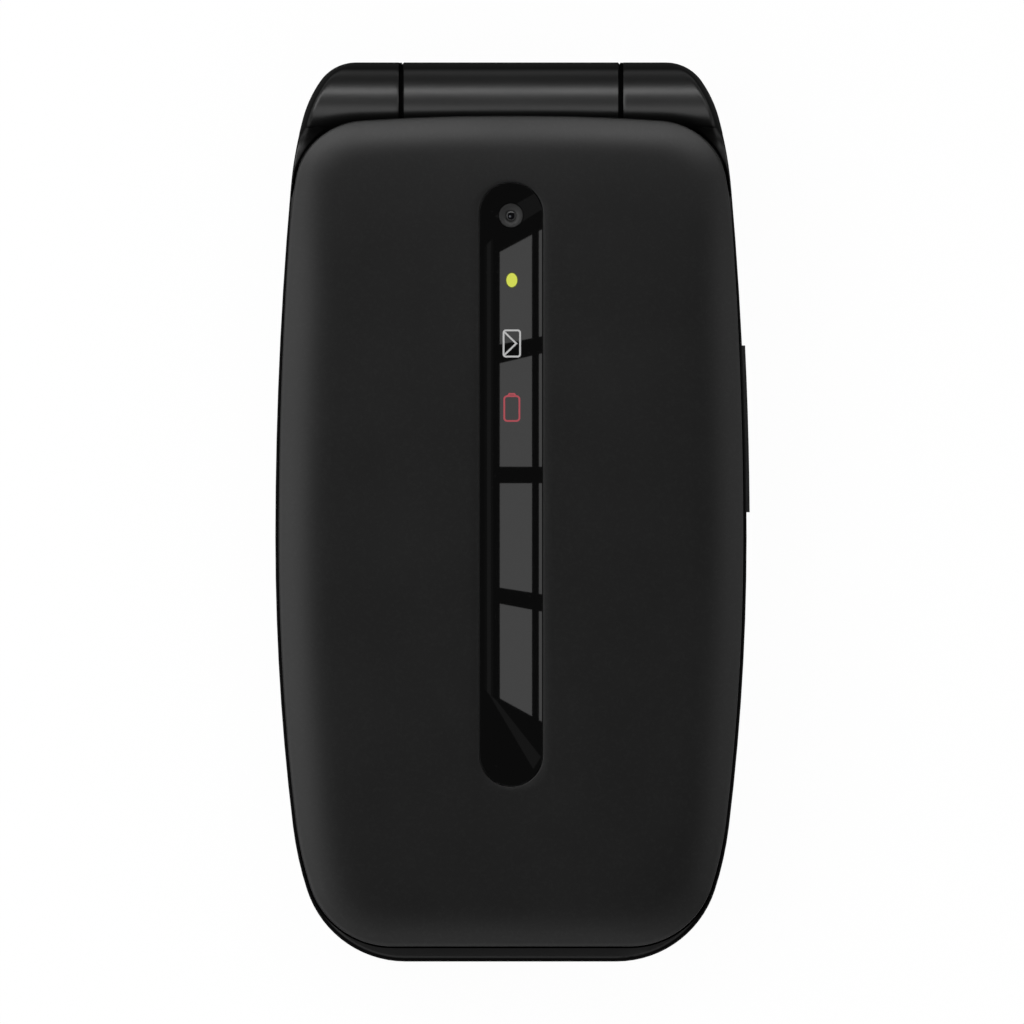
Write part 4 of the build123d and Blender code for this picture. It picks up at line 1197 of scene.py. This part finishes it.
    def marks(self) -> None:
        """The lit dot with its painted glow halo, and the letter and battery marks on the window.
        """
        bottom, top = self.window_high.z, self.window_high.z + self.print_height
        lamps_low, lamps_high = extent("indicator_lamps")
        x, letter_y, cell_y = self.mark_x, self.letter_y, lamps_low.y + self.mark_inset
        ways = np.linspace(0, 2 * math.pi, 40, endpoint=False)
        oval = np.column_stack([np.cos(ways), np.sin(ways)]) * self.lamp_size
        # the halo is painted glow of the lamp, spread round its dot
        for name, grow, drop, finish in (
                ("lamp_halo", self.halo_share, self.halo_drop, Finish.LAMP_HALO),
                ("lamp_mark", 1.0, 0.0, Finish.LAMP_GLOW)):
            line = oval * grow + (x, lamps_high.y - self.mark_inset)
            dot = loft(name, [raised(line, bottom), raised(line, top - drop)])
            dress(dot, finish, self.body, "lamp")
        sheet = self.rounded(x, letter_y, *self.letter_size, self.letter_corner)
        left, half = x - self.letter_size[0] / 2, self.letter_size[1] / 2
        tip, inset = self.flap
        self.sign("letter_mark", Finish.ICON_INK, sheet, [
            (left, letter_y + half - inset), (x + tip, letter_y), (left, letter_y - half + inset)])
        case = self.rounded(x, cell_y - self.cell_shift, *self.cell_size, self.cell_corner)
        self.sign("battery_mark", Finish.RED_ICON, case,
                  [(x + across, cell_y + up) for across, up in self.nub])

    @staticmethod
    def rounded(x: float, y: float, width: float, height: float, corner: float) -> list[Point]:
        """A round-cornered rectangle.

        Args:
            x: Its middle.
            y: Its middle.
            width: Along X.
            height: Along Y.
            corner: Radius of its corners.

        Returns:
            Its points.
        """
        points = []
        for sx, sy, start in ((1, 1, 0), (-1, 1, 90), (-1, -1, 180), (1, -1, 270)):
            for angle in np.radians(np.linspace(start, start + 90, 6)):
                points.append((x + sx * (width / 2 - corner) + corner * math.cos(angle),
                               y + sy * (height / 2 - corner) + corner * math.sin(angle)))
        return points

    def build(self) -> None:
        """Makes and dresses the lid's outer pieces."""
        shell = self.shell()
        barrel_low, barrel_high = extent("hinge_barrel")
        radius = (barrel_high.z - barrel_low.z) / 2
        reach = self.saddle_reach
        saddle = [(radius + self.saddle_gap, end) for end in (-reach, reach)]
        axis = (0.0, barrel_high.y - radius, barrel_high.z - radius)
        cut(shell, turned("saddle", saddle, axis, steps=160, lying=True))
        dress(shell, Finish.SOFT_TOUCH, self.body, "cover_plastic", "lid_cover")
        dress(self.window(), Finish.WINDOW, self.body, "window_gloss", "outer_window")
        ring, lens, glint_spot = self.camera_pieces()
        dress(ring, Finish.CAMERA_RING, self.body, "camera_black", "camera_ring")
        dress(lens, Finish.LENS, self.body, "camera_black")
        # grey spot in the lens: painted glint
        dress(glint_spot, Finish.COATING, self.body, "camera_black")
        self.marks()


# ---- Base half -----------------------------------------------------------------------------------
@dataclass
class Hinge:
    """Knuckles, cheeks by the lid's corners, painted-shadow collars and tail strip. Millimetres."""

    head_radii: tuple[float, ...] = (5.1, 14.0, 50.0)
    head_angles: tuple[float, ...] = (55.0, 75.0, 85.0)
    tail_radii: tuple[float, ...] = (12.2, 40.0)
    tail_angles: tuple[float, ...] = (72.0, 83.0)
    trim: float = 0.01
    end_radius: float = 1.1
    end_clear: float = 0.02
    edge_break: float = 0.10
    break_share: float = 0.3
    cap_start: float = 0.25
    cap_depth: float = 0.6
    face_gap: float = 0.3
    face_cut: float = 0.2
    under_cut: float = 0.005
    over_side: float = 3.0
    over_head: float = 2.0
    cheek_gap: float = 0.32
    cheek_head: float = 1.6
    cheek_tail: float = 36.2
    cheek_least: float = 0.12
    cheek_most: float = 6.5
    cheek_edge: float = 0.22
    cheek_top: float = 3.45
    cheek_flat: float = 7.3
    cheek_foot: float = 0.1
    cheek_tuck: float = 0.06
    tuck_run: float = 0.3
    cheek_across: int = 26
    cheek_crease: float = 40.0
    lid_gap: float = 0.3
    rim_round: float = 0.7
    # near-black rings in the gaps beside the barrel: painted shadow
    shadow_collar_sink: float = 0.03
    shadow_collar_depth: float = 1.4
    shadow_collar_overlap: float = 0.06
    shadow_collar_clear: float = 0.008
    shadow_collar_steps: int = 96
    # near-black strip round the lid's tail: painted shadow of the seam
    shadow_strip_width: float = 0.36
    shadow_strip_least: float = 0.02
    shadow_strip_margin: float = 0.2
    shadow_strip_tuck: float = 0.12
    shadow_strip_lift: float = 0.03
    shadow_strip_start: float = -35.0
    shadow_strip_taper: float = 8.0
    shadow_strip_across: int = 6
    across: int = 28
    along: int = 44
    low: Vector = field(init=False)
    high: Vector = field(init=False)
    barrel_high: Vector = field(init=False)
    radius: float = field(init=False)
    axis_y: float = field(init=False)
    axis_z: float = field(init=False)
    face_x: float = field(init=False)
    rim_z: float = field(init=False)

    def __post_init__(self) -> None:
        """Takes the housing's, the barrel's and the rim's places from the frame."""
        self.low, self.high = extent("front_case")
        barrel_low, self.barrel_high = extent("hinge_barrel")
        self.radius = (self.barrel_high.z - barrel_low.z) / 2
        self.axis_y = self.high.y - self.radius
        self.axis_z = self.barrel_high.z - self.radius
        self.face_x = self.barrel_high.x + self.face_gap
        self.rim_z = extent("lid_frame")[0].z - self.lid_gap

    def plan(self) -> Plan:
        """The base's outline.

        Returns:
            The outline, a hair inside the housing's own.
        """
        half, head = -self.low.x - self.trim, self.high.y - self.trim
        return Plan(half, head, -head, self.head_radii, self.head_angles, self.tail_radii,
                    self.tail_angles)

    def bar(self, y: np.ndarray, radius: float) -> np.ndarray:
        """Height of a round bar over the hinge's axis."""
        return np.sqrt(np.clip(radius ** 2 - (y - self.axis_y) ** 2, 0, None))

    def softness(self, places: np.ndarray, edge: np.ndarray, facing: np.ndarray) -> np.ndarray:
        """Share of its full height that a knuckle has near the outline.

        Args:
            places: Plan points.
            edge: Points on the plan outline.
            facing: Their normals.

        Returns:
            Shares, falling to zero in a quarter round at the outline's side.
        """
        gaps = np.sum((edge[None] - places[:, None]) * facing[None], axis=2)
        nearest = np.argmin(gaps, axis=1)
        bend = np.maximum(self.end_radius * np.abs(facing[nearest, 0]), TINY)
        inward = np.clip(gaps[np.arange(len(places)), nearest] / bend, 0, 1)
        return np.sqrt(1 - (1 - inward) ** 2)

    def cap(self) -> Piece:
        """The right knuckle's wanted upper half, as a solid.

        Returns:
            The solid, which reaches a little below the hinge's axis.
        """
        edge, facing = self.plan().loop(FINE)
        right = edge[(edge[:, 0] > 0) & (edge[:, 1] > self.axis_y - self.radius)]
        last = right[-1, 0] - self.end_clear
        soft, broken = self.radius - self.trim, self.break_share * self.edge_break
        first = self.face_x + self.edge_break
        stations = [(self.face_x - self.cap_start, soft - self.edge_break),
                    (self.face_x, soft - self.edge_break),
                    (self.face_x + broken, soft - broken), (first, soft)]
        stations += [(first + (last - self.face_x - self.edge_break) * share, soft)
                     for share in np.sin(np.linspace(0, math.pi / 2, self.along))[1:]]
        rings = []
        for x, radius in stations:
            reach = float(np.interp(x, right[:, 0], right[:, 1]))
            start, stop = self.axis_y - radius, min(self.axis_y + radius, reach)
            y = start + (stop - start) * (1 - np.cos(np.linspace(0, math.pi, self.across))) / 2
            places = np.column_stack([np.full(len(y), x), y])
            z = self.axis_z + self.bar(y, radius) * self.softness(places, edge, facing)
            under = self.axis_z - self.cap_depth
            rings.append(np.concatenate([[(x, start, under)], raised(places, z),
                                         [(x, stop, under)]]))
        return loft("cap", rings)

    def cheek_reach(self, point: np.ndarray, facing: np.ndarray, lid_edge: np.ndarray) -> float:
        """How far in a cheek goes before it meets the lid's gap.

        Args:
            point: A point on the base's outline.
            facing: The outline's normal there.
            lid_edge: Points on the lid's outline.

        Returns:
            The distance in from the point.
        """
        depths = np.linspace(0, self.cheek_most, 131)
        line = point - facing * depths[:, None]
        gaps = np.min(np.linalg.norm(line[:, None] - lid_edge[None], axis=2), axis=1)
        gaps -= self.cheek_gap
        met = int(np.argmax(gaps < 0))
        if gaps[met] >= 0:
            return float(depths[-1])
        if not met:
            return 0.0
        return float(np.interp(0, [gaps[met], gaps[met - 1]], [depths[met], depths[met - 1]]))

    def cheek(self, name: str, side: int, lid_edge: np.ndarray) -> Piece:
        """A cheek that runs the knuckle's front in a hollow curve to the rim beside the lid.

        Args:
            name: The piece's name.
            side: 1 for the right knuckle, -1 for the left.
            lid_edge: Points on the lid's outline.

        Returns:
            The cheek, standing on the rim.
        """
        edge, facing = self.plan().loop(FINE)
        radius = self.radius - self.trim
        meet = self.axis_y - self.cheek_top
        lift = float(self.bar(np.array(meet), radius))
        start = meet - 2 * lift / ((self.axis_y - meet) / lift)
        flat_end = self.axis_y - self.cheek_flat
        beside = [(point, normal, self.cheek_reach(point, normal, lid_edge))
                  for point, normal in zip(edge, facing)
                  if point[0] > 0 and self.cheek_tail < point[1] < self.axis_y - self.cheek_head]
        beside = [place for place in beside if place[2] > self.cheek_least]
        tail = beside[-1][0][1]
        rings = []
        for point, normal, reach in beside:
            depth = reach * (1 - np.cos(np.linspace(0, math.pi, self.cheek_across))) / 2
            plan = point - normal * depth[:, None]
            y = plan[:, 1]
            hollow_shade = lift * np.clip((y - start) / (meet - start), 0, None) ** 2
            tuck = self.cheek_tuck * np.clip((y - meet) / self.tuck_run, 0, 1)
            height = np.where(y < meet, hollow_shade, self.bar(y, radius) - tuck)
            top = self.axis_z + height * self.softness(plan, edge, facing)
            share = np.clip((flat_end - y) / (flat_end - tail), 0, 1)
            top -= (self.axis_z - self.rim_z - self.cheek_foot) * eased(share)
            for run in (depth, reach - depth):
                near = 1 - np.clip(run / self.cheek_edge, 0, 1)
                top -= self.cheek_edge * (1 - np.sqrt(1 - near ** 2))
            under = self.rim_z - self.rim_round
            ring = np.concatenate([[(*plan[0], under)], raised(plan, top), [(*plan[-1], under)]])
            rings.append(ring * (side, 1, 1))
        return loft(name, rings, crease=self.cheek_crease)

    def housing(self) -> Piece:
        """The keypad housing with both knuckles trimmed to soft ends.

        Returns:
            The housing, shaded evenly.
        """
        piece = welded("keypad_housing", "front_case")
        for side in (1, -1):
            cap = self.cap()
            if side < 0:
                cap.data.transform(Matrix.Scale(-1, 4, Vector((1, 0, 0))))
                cap.data.flip_normals()
            ends = sorted((side * (self.face_x - self.face_cut),
                           side * (self.high.x + self.over_side)))
            front, back = self.axis_y - self.radius - self.under_cut, self.high.y + self.over_head
            tool = cuboid("tool", (ends[0], front, self.axis_z),
                          (ends[1], back, self.axis_z + 2 * self.radius))
            cut(tool, cap)
            cut(piece, tool)
        even(piece)
        return piece

    def shadow_collar(self, name: str, side: int) -> Piece:
        """A near-black ring that fills the gap between the barrel and a knuckle: painted shadow.

        Args:
            name: The piece's name.
            side: 1 for the right knuckle, -1 for the left.

        Returns:
            The ring.
        """
        outer, inner = self.radius - self.shadow_collar_sink, self.radius - self.shadow_collar_depth
        start, stop = self.barrel_high.x - self.shadow_collar_overlap, self.face_x - self.shadow_collar_clear
        steps = self.shadow_collar_steps
        angles = np.linspace(0, 2 * math.pi, steps, endpoint=False)
        rings = [np.column_stack([np.full(steps, side * x), r * np.cos(angles) + self.axis_y,
                                  r * np.sin(angles) + self.axis_z])
                 for r, x in ((inner, start), (outer, start), (outer, stop), (inner, stop))]
        return loft(name, rings, closed=True)

    def shadow_strip(self) -> Piece:
        """A near-black strip round the lid's tail, tapering along the sides, on the rim's round; it
        is painted shadow of the seam between lid and base.

        Returns:
            The strip.
        """
        outline, _ = self.plan().loop(FINEST)
        foot = self.rim_z - self.rim_round
        rings = []
        for point, normal in zip(*Lid().plan().loop()):
            if point[1] > self.shadow_strip_start:
                continue
            room = float(np.min(np.linalg.norm(outline - point, axis=1)))
            share = min((self.shadow_strip_start - point[1]) / self.shadow_strip_taper, 1.0)
            width = min(max(room - self.shadow_strip_margin, self.shadow_strip_least), self.shadow_strip_width) * share
            out = np.linspace(-self.shadow_strip_tuck, width, self.shadow_strip_across)
            near = np.clip(self.rim_round - (room - out), 0, self.rim_round)
            crown = foot + np.sqrt(self.rim_round ** 2 - near ** 2) + self.shadow_strip_lift
            plan = point + normal * out[:, None]
            rings.append(np.concatenate([[(*plan[0], foot)], raised(plan, crown),
                                         [(*plan[-1], foot)]]))
        return loft("tail_seal", rings)

    def build(self) -> None:
        """Makes and dresses the housing, the cheeks, and the painted-shadow strip and collars."""
        dress(self.housing(), Finish.DECK, "base", "case_plastic", "front_case")
        # painted shadow of the seam round the lid's tail
        dress(self.shadow_strip(), Finish.GASKET, "base", "rubber_black")
        lid_edge, _ = Lid().plan().loop(FINEST)
        for hand, side in (("right", 1), ("left", -1)):
            cheek = self.cheek(f"cheek_{hand}", side, lid_edge)
            dress(cheek, Finish.SATIN_CASE, "base", "case_plastic")
            # painted shadow in the gaps beside the barrel
            dress(self.shadow_collar(f"collar_{hand}", side), Finish.GASKET, "lid", "rubber_black")


@dataclass
class Keypad:
    """Printed legends on the keys, which ride with them. Millimetres."""

    lift: float = 0.004
    ink: float = 0.012
    digit_size: float = 5.6
    digit_shift: float = 2.4
    letter_size: float = 2.3
    letter_shift: float = 3.0
    ok_size: float = 3.0
    dash: float = 1.5
    dash_stroke: float = 0.6
    grip_radius: float = 2.6
    grip_drop: float = 2.2
    grip_stroke: float = 0.75
    ear_stroke: float = 1.7
    ear_back: float = 0.55
    ear_ahead: float = 0.75
    arrow_tip: float = 0.65
    arrow_back: float = 0.45
    arrow_side: float = 0.95
    slot: str = "key_plastic"
    letters: tuple[str, ...] = ("", "abc", "def", "ghi", "jkl", "mno", "pqrs", "tuv", "wxyz")

    def place(self, node: str) -> tuple[Vector, float]:
        """A key's middle, and the height its print starts at."""
        low, high = extent(node)
        return (low + high) / 2, high.z + self.lift

    def text(self, name: str, words: str, size: float, x: float, y: float, z: float) -> Piece:
        """Printed words in the plain built-in face.

        Args:
            name: The piece's name.
            words: What they say.
            size: Height of the face.
            x: Middle of the words.
            y: Middle of the words.
            z: Where the print starts.

        Returns:
            A thin mesh.
        """
        curve = bpy.data.curves.new(name, "FONT")
        curve.body, curve.size = words, size * MM
        curve.align_x, curve.align_y = "CENTER", "CENTER"
        curve.extrude, curve.resolution_u = self.ink / 2 * MM, 4
        holder = placed(name, curve)
        mesh = evaluated(holder)
        bpy.data.objects.remove(holder)
        low = Vector(min(v.co[i] for v in mesh.vertices) for i in range(3))
        high = Vector(max(v.co[i] for v in mesh.vertices) for i in range(3))
        wanted = Vector((x * MM, y * MM, (z + self.ink / 2) * MM))
        mesh.transform(Matrix.Translation(wanted - (low + high) / 2))
        return placed(name, mesh)

    def digits(self) -> None:
        """Legends of the twelve number keys."""
        legends = {f"key_{n + 1}": (str(n + 1), self.letters[n]) for n in range(9)}
        legends.update(key_star=("*", ""), key_0=("0", "+"), key_hash=("#", ""))
        for node, (big, small) in legends.items():
            middle, z = self.place(node)
            x = middle.x - self.digit_shift if small else middle.x
            parts = [self.text("a", big, self.digit_size, x, middle.y, z)]
            if small:
                x = middle.x + self.letter_shift
                parts.append(self.text("b", small, self.letter_size, x, middle.y, z))
            dress(joined(node + "_print", parts), Finish.WHITE_INK, node, self.slot)

    def handset(self, name: str, x: float, y: float, z: float, turn: float) -> Piece:
        """A small telephone handset.

        Args:
            name: The piece's name.
            x: Its middle.
            y: Its middle.
            z: Where the print starts.
            turn: Degrees by which it is turned.

        Returns:
            A thin mesh.
        """
        way = np.radians(np.linspace(200, 340, 17))
        grip = self.grip_radius * np.column_stack([np.cos(way), np.sin(way)])
        grip += (0.0, self.grip_drop)
        spin, top = math.radians(turn), z + self.ink
        spun = np.array([[math.cos(spin), math.sin(spin)], [-math.sin(spin), math.cos(spin)]])
        parts = [ribbon("a", grip @ spun + (x, y), self.grip_stroke, z, top)]
        for end, inner in ((grip[0], grip[1]), (grip[-1], grip[-2])):
            out = (end - inner) / np.linalg.norm(end - inner)
            ear = np.array([end - out * self.ear_back, end + out * self.ear_ahead])
            parts.append(ribbon("b", ear @ spun + (x, y), self.ear_stroke, z, top - 0.001))
        return joined(name, parts)

    def controls(self) -> None:
        """Legends of the call, end, soft, OK and compass keys."""
        for node, finish, turn in (("key_call", Finish.GREEN_INK, 35.0),
                                   ("key_end", Finish.RED_INK, 180.0)):
            middle, z = self.place(node)
            sign = self.handset(node + "_print", middle.x, middle.y, z, turn)
            dress(sign, finish, node, self.slot)
        for node in ("key_left_soft", "key_right_soft"):
            middle, z = self.place(node)
            dash = [(middle.x - self.dash, middle.y), (middle.x + self.dash, middle.y)]
            sign = ribbon(node + "_print", dash, self.dash_stroke, z, z + self.ink)
            dress(sign, Finish.WHITE_INK, node, self.slot)
        middle, z = self.place("key_ok")
        sign = self.text("key_ok_print", "OK", self.ok_size, middle.x, middle.y, z)
        dress(sign, Finish.WHITE_INK, "key_ok", self.slot)
        middle, z = self.place("nav_ring")
        reach = (extent("nav_ring")[1].x + extent("key_ok")[1].x) / 2
        arrows = []
        for angle in range(0, 360, 90):
            way = math.radians(angle)
            ahead = Vector((math.cos(way), math.sin(way)))
            side = Vector((-math.sin(way), math.cos(way))) * self.arrow_side
            tip = middle.to_2d() + ahead * (reach - middle.x)
            back = tip - ahead * self.arrow_back
            corners = np.array([tip + ahead * self.arrow_tip, back + side, back - side])
            arrows.append(loft("c", [raised(corners, z), raised(corners, z + self.ink)]))
        dress(joined("nav_ring_print", arrows), Finish.WHITE_INK, "nav_ring", self.slot)

    def build(self) -> None:
        """Prints every key."""
        self.digits()
        self.controls()


# ---- Studio --------------------------------------------------------------------------------------
@dataclass
class Studio:
    """Pale floor, soft boxes, cards that the window mirrors, and the camera.

    Metres, except for what the window mirrors, which is in millimetres on the phone. The bars are
    the panes' head and tail edges in turn, each as its place along the phone at right and left.
    """

    picture_side: float = 1024 * 0.1178 * MM
    lens: float = 900.0
    sensor: float = 36.0
    clip: Point = (0.05, 20.0)
    focus_height: float = 0.015
    centre: Vector = field(default_factory=lambda: Vector((0.00012, 0.00003, 0.0)))
    light_distance: float = 0.6
    dim: float = 0.06
    bright: float = 1.0
    floor_reach: float = 3.0
    floor_drop: float = 0.00002
    floor_tone: Colour = grey(0.86)
    floor_glow: float = 1.03
    floor_share: float = 0.94
    card_height: float = 0.3
    pane_sides: Point = (-1.30, 2.45)
    pane_radiance: float = 1.36
    strip_sides: Point = (3.27, 3.66)
    strip_radiance: float = 1.3
    bars: tuple[Point, ...] = (
        (32.43, 30.42), (20.35, 19.62), (18.29, 17.40), (5.33, 5.33), (3.39, 3.39),
        (-9.39, -8.80), (-11.40, -10.69), (-23.83, -21.76))

    def eye_height(self) -> float:
        """The camera's height over the floor."""
        return self.picture_side * self.lens / self.sensor + self.focus_height

    def soft_box(self, name: str, polar: float, azimuth: float, size: Point,
                 radiance: float) -> None:
        """Adds an area light.

        Args:
            name: Its name.
            polar: Degrees down from straight above.
            azimuth: Degrees round from +X.
            size: Width and height.
            radiance: How bright its face is.
        """
        light = bpy.data.lights.new(name, "AREA")
        light.shape, light.size, light.size_y = "RECTANGLE", *size
        light.energy = radiance * math.pi * size[0] * size[1]
        down, way = math.radians(polar), math.radians(azimuth)
        away = Vector((math.sin(down) * math.cos(way), math.sin(down) * math.sin(way),
                       math.cos(down)))
        lamp = placed(name, light)
        lamp.location = away * self.light_distance
        lamp.rotation_euler = away.to_track_quat("Z", "Y").to_euler()
        lamp.visible_camera = False

    def floor(self) -> None:
        """A wide white sheet that keeps the phone's shadow."""
        reach, drop = self.floor_reach / MM, self.floor_drop / MM
        corners = [(-reach, -reach, -drop), (reach, -reach, -drop), (reach, reach, -drop),
                   (-reach, reach, -drop)]
        sheet = solid("floor", np.array(corners), [range(4)])
        shader = Shader("floor_paper")
        shader.finish(base_color=self.floor_tone, roughness=0.9, specular_ior_level=0.2)
        path = shader.add("ShaderNodeLightPath")
        camera, glossy, through = (Wire(shader, path.outputs[f"Is {kind} Ray"])
                                   for kind in ("Camera", "Glossy", "Transmission"))
        glow = shader.add("ShaderNodeEmission", inputs={
            "Color": grey(1.0), "Strength": self.floor_glow})
        seen = (camera + glossy + through > 0.5) * self.floor_share
        shader.show(shader.mix(seen, shader.surface.outputs[0], glow.outputs[0]))
        sheet.data.materials.append(shader.material)

    def world(self) -> None:
        """Dim even surroundings, white only where the camera sees them."""
        world = bpy.data.worlds.new("studio")
        bpy.context.scene.world = world
        nodes = Nodes(world)
        path = nodes.add("ShaderNodeLightPath")
        dim, bright = (nodes.add("ShaderNodeBackground", inputs={
            "Color": grey(1.0), "Strength": strength}) for strength in (self.dim, self.bright))
        mixed = nodes.mix(path.outputs["Is Camera Ray"], dim.outputs[0], bright.outputs[0])
        nodes.add("ShaderNodeOutputWorld", inputs={"Surface": mixed})

    def pane(self, name: str, corners: Sequence[Point], radiance: float) -> None:
        """A lit card that the window mirrors at the given place.

        Args:
            name: Its name.
            corners: Where its reflection shows, in millimetres on the phone.
            radiance: How bright it is.
        """
        eye = self.centre.to_2d() / MM
        grow = self.card_height / (self.eye_height() - extent("outer_window")[1].z * MM)
        points = np.array([(x + (x - eye.x) * grow, y + (y - eye.y) * grow, self.card_height / MM)
                           for x, y in corners])
        card = solid(name, points, [range(len(corners))])
        shader = Shader(name + "_light")
        glow = shader.add("ShaderNodeEmission", inputs={"Color": grey(1.0), "Strength": radiance})
        shader.show(glow.outputs[0])
        card.data.materials.append(shader.material)
        card.visible_camera = card.visible_diffuse = card.visible_shadow = False

    def panes(self) -> None:
        """The tall window's reflection: slanted panes, a thin strip beside them, faint beams."""
        left, right = self.pane_sides
        near, far = self.strip_sides
        for number, (top, low) in enumerate(zip(self.bars[::2], self.bars[1::2])):
            self.pane(f"pane_{number}", [(left, top[1]), (right, top[0]), (right, low[0]),
                                         (left, low[1])], self.pane_radiance)
            top_lean, low_lean = ((bar[0] - bar[1]) / (right - left) for bar in (top, low))
            thin = [(x, bar[0] + lean * (x - right)) for x, bar, lean in (
                (near, top, top_lean), (far, top, top_lean), (far, low, low_lean),
                (near, low, low_lean))]
            self.pane(f"strip_{number}", thin, self.strip_radiance)
        faint = {"band_left": (0.08, (-3.10, 31.0), (-2.80, 31.3), (-2.80, -21.0), (-3.10, -20.6)),
                 "band": (0.19, (-2.80, 31.3), (-2.35, 31.8), (-2.35, -21.5), (-2.80, -21.0)),
                 "band_right": (0.09, (-2.35, 31.8), (-2.08, 32.1), (-2.08, -21.8), (-2.35, -21.5)),
                 "upper_beam": (0.16, (-1.9, 34.6), (3.0, 37.4), (3.6, 35.4), (0.4, 33.4)),
                 "lower_beam": (0.17, (-2.6, -21.2), (-1.7, -22.0), (3.5, -28.6), (2.6, -30.0))}
        for name, (radiance, *corners) in faint.items():
            self.pane(name, corners, radiance)

    def build(self) -> None:
        """Lights the phone and sets the camera straight above the lid."""
        self.world()
        self.floor()
        for name, polar, azimuth, size, radiance in (
                ("left_box", 36, 176, (0.62, 0.40), 1.55), ("top_box", 26, 90, (0.44, 0.13), 3.5),
                ("right_box", 39, 0, (0.32, 0.40), 0.8),
                ("front_box", 40, 270, (0.50, 0.40), 0.85)):
            self.soft_box(name, polar, azimuth, size, radiance)
        data = bpy.data.cameras.new("camera")
        data.lens, data.sensor_width = self.lens, self.sensor
        data.clip_start, data.clip_end = self.clip
        camera = placed("camera", data)
        camera.location = self.centre + Vector((0.0, 0.0, self.eye_height()))
        bpy.context.scene.camera = camera
        self.panes()
        bpy.context.scene.view_settings.view_transform = "Standard"


# ---- Carried-over nodes --------------------------------------------------------------------------
NODE_FINISHES: dict[Finish, tuple[str, ...]] = {
    Finish.SATIN_CASE: ("hinge_barrel", "volume_key"),
    Finish.RIM: ("lid_frame",),
    Finish.TEXTURED_BACK: ("rear_case", "battery_cover"),
    Finish.KEY_CAP: ("key_ok", "nav_ring", "key_left_soft", "key_right_soft", "key_call", "key_end",
                     "key_star", "key_hash", *(f"key_{digit}" for digit in range(10))),
    Finish.INNER: ("headset_jack", "antenna", "volume_switch", "hinge_bush"),
    Finish.RUBBER: ("lid_bumpers", "nav_pad"),
    Finish.CAMERA_BODY: ("camera_module", "loudspeaker", "earpiece"),
    Finish.SLEEVE: ("battery",),
    Finish.DISPLAY: ("display_panel",),
    Finish.GLASS: ("display_window",),
    Finish.GUIDE: ("light_guide",),
    Finish.STEEL: ("usb_socket", "shield_cans", "card_sockets", "microphone", "vibration_motor",
                   "hinge_shaft", "hinge_can", "hinge_follower", "hinge_spring"),
    Finish.DARK_STEEL: ("case_screws", "lid_screws"),
    Finish.PLATED: ("lid_magnet",),
    Finish.GOLD: ("battery_contacts",),
    Finish.SOLDER_MASK: ("main_board", "lid_board"),
    Finish.FLEX: ("base_flex", "lid_flex"),
    Finish.FILM: ("dome_sheet",),
    Finish.SCREEN: ("earpiece_mesh",),
    Finish.LAMP_GLOW: ("indicator_lamps",),
}


def dress_nodes() -> None:
    """Gives every carried-over node its finish."""
    for finish, names in NODE_FINISHES.items():
        for name in names:
            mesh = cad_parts[name].data
            mesh.materials.clear()
            mesh.materials.append(finish.material())
            log.info("%s: %s", name, finish.name.lower())


def main() -> None:
    """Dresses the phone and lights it."""
    logging.basicConfig(level=logging.INFO, format="%(message)s")
    dress_nodes()
    for part in (Lid, Hinge, Keypad, Studio):
        part().build()


if __name__ == "__main__":
    main()
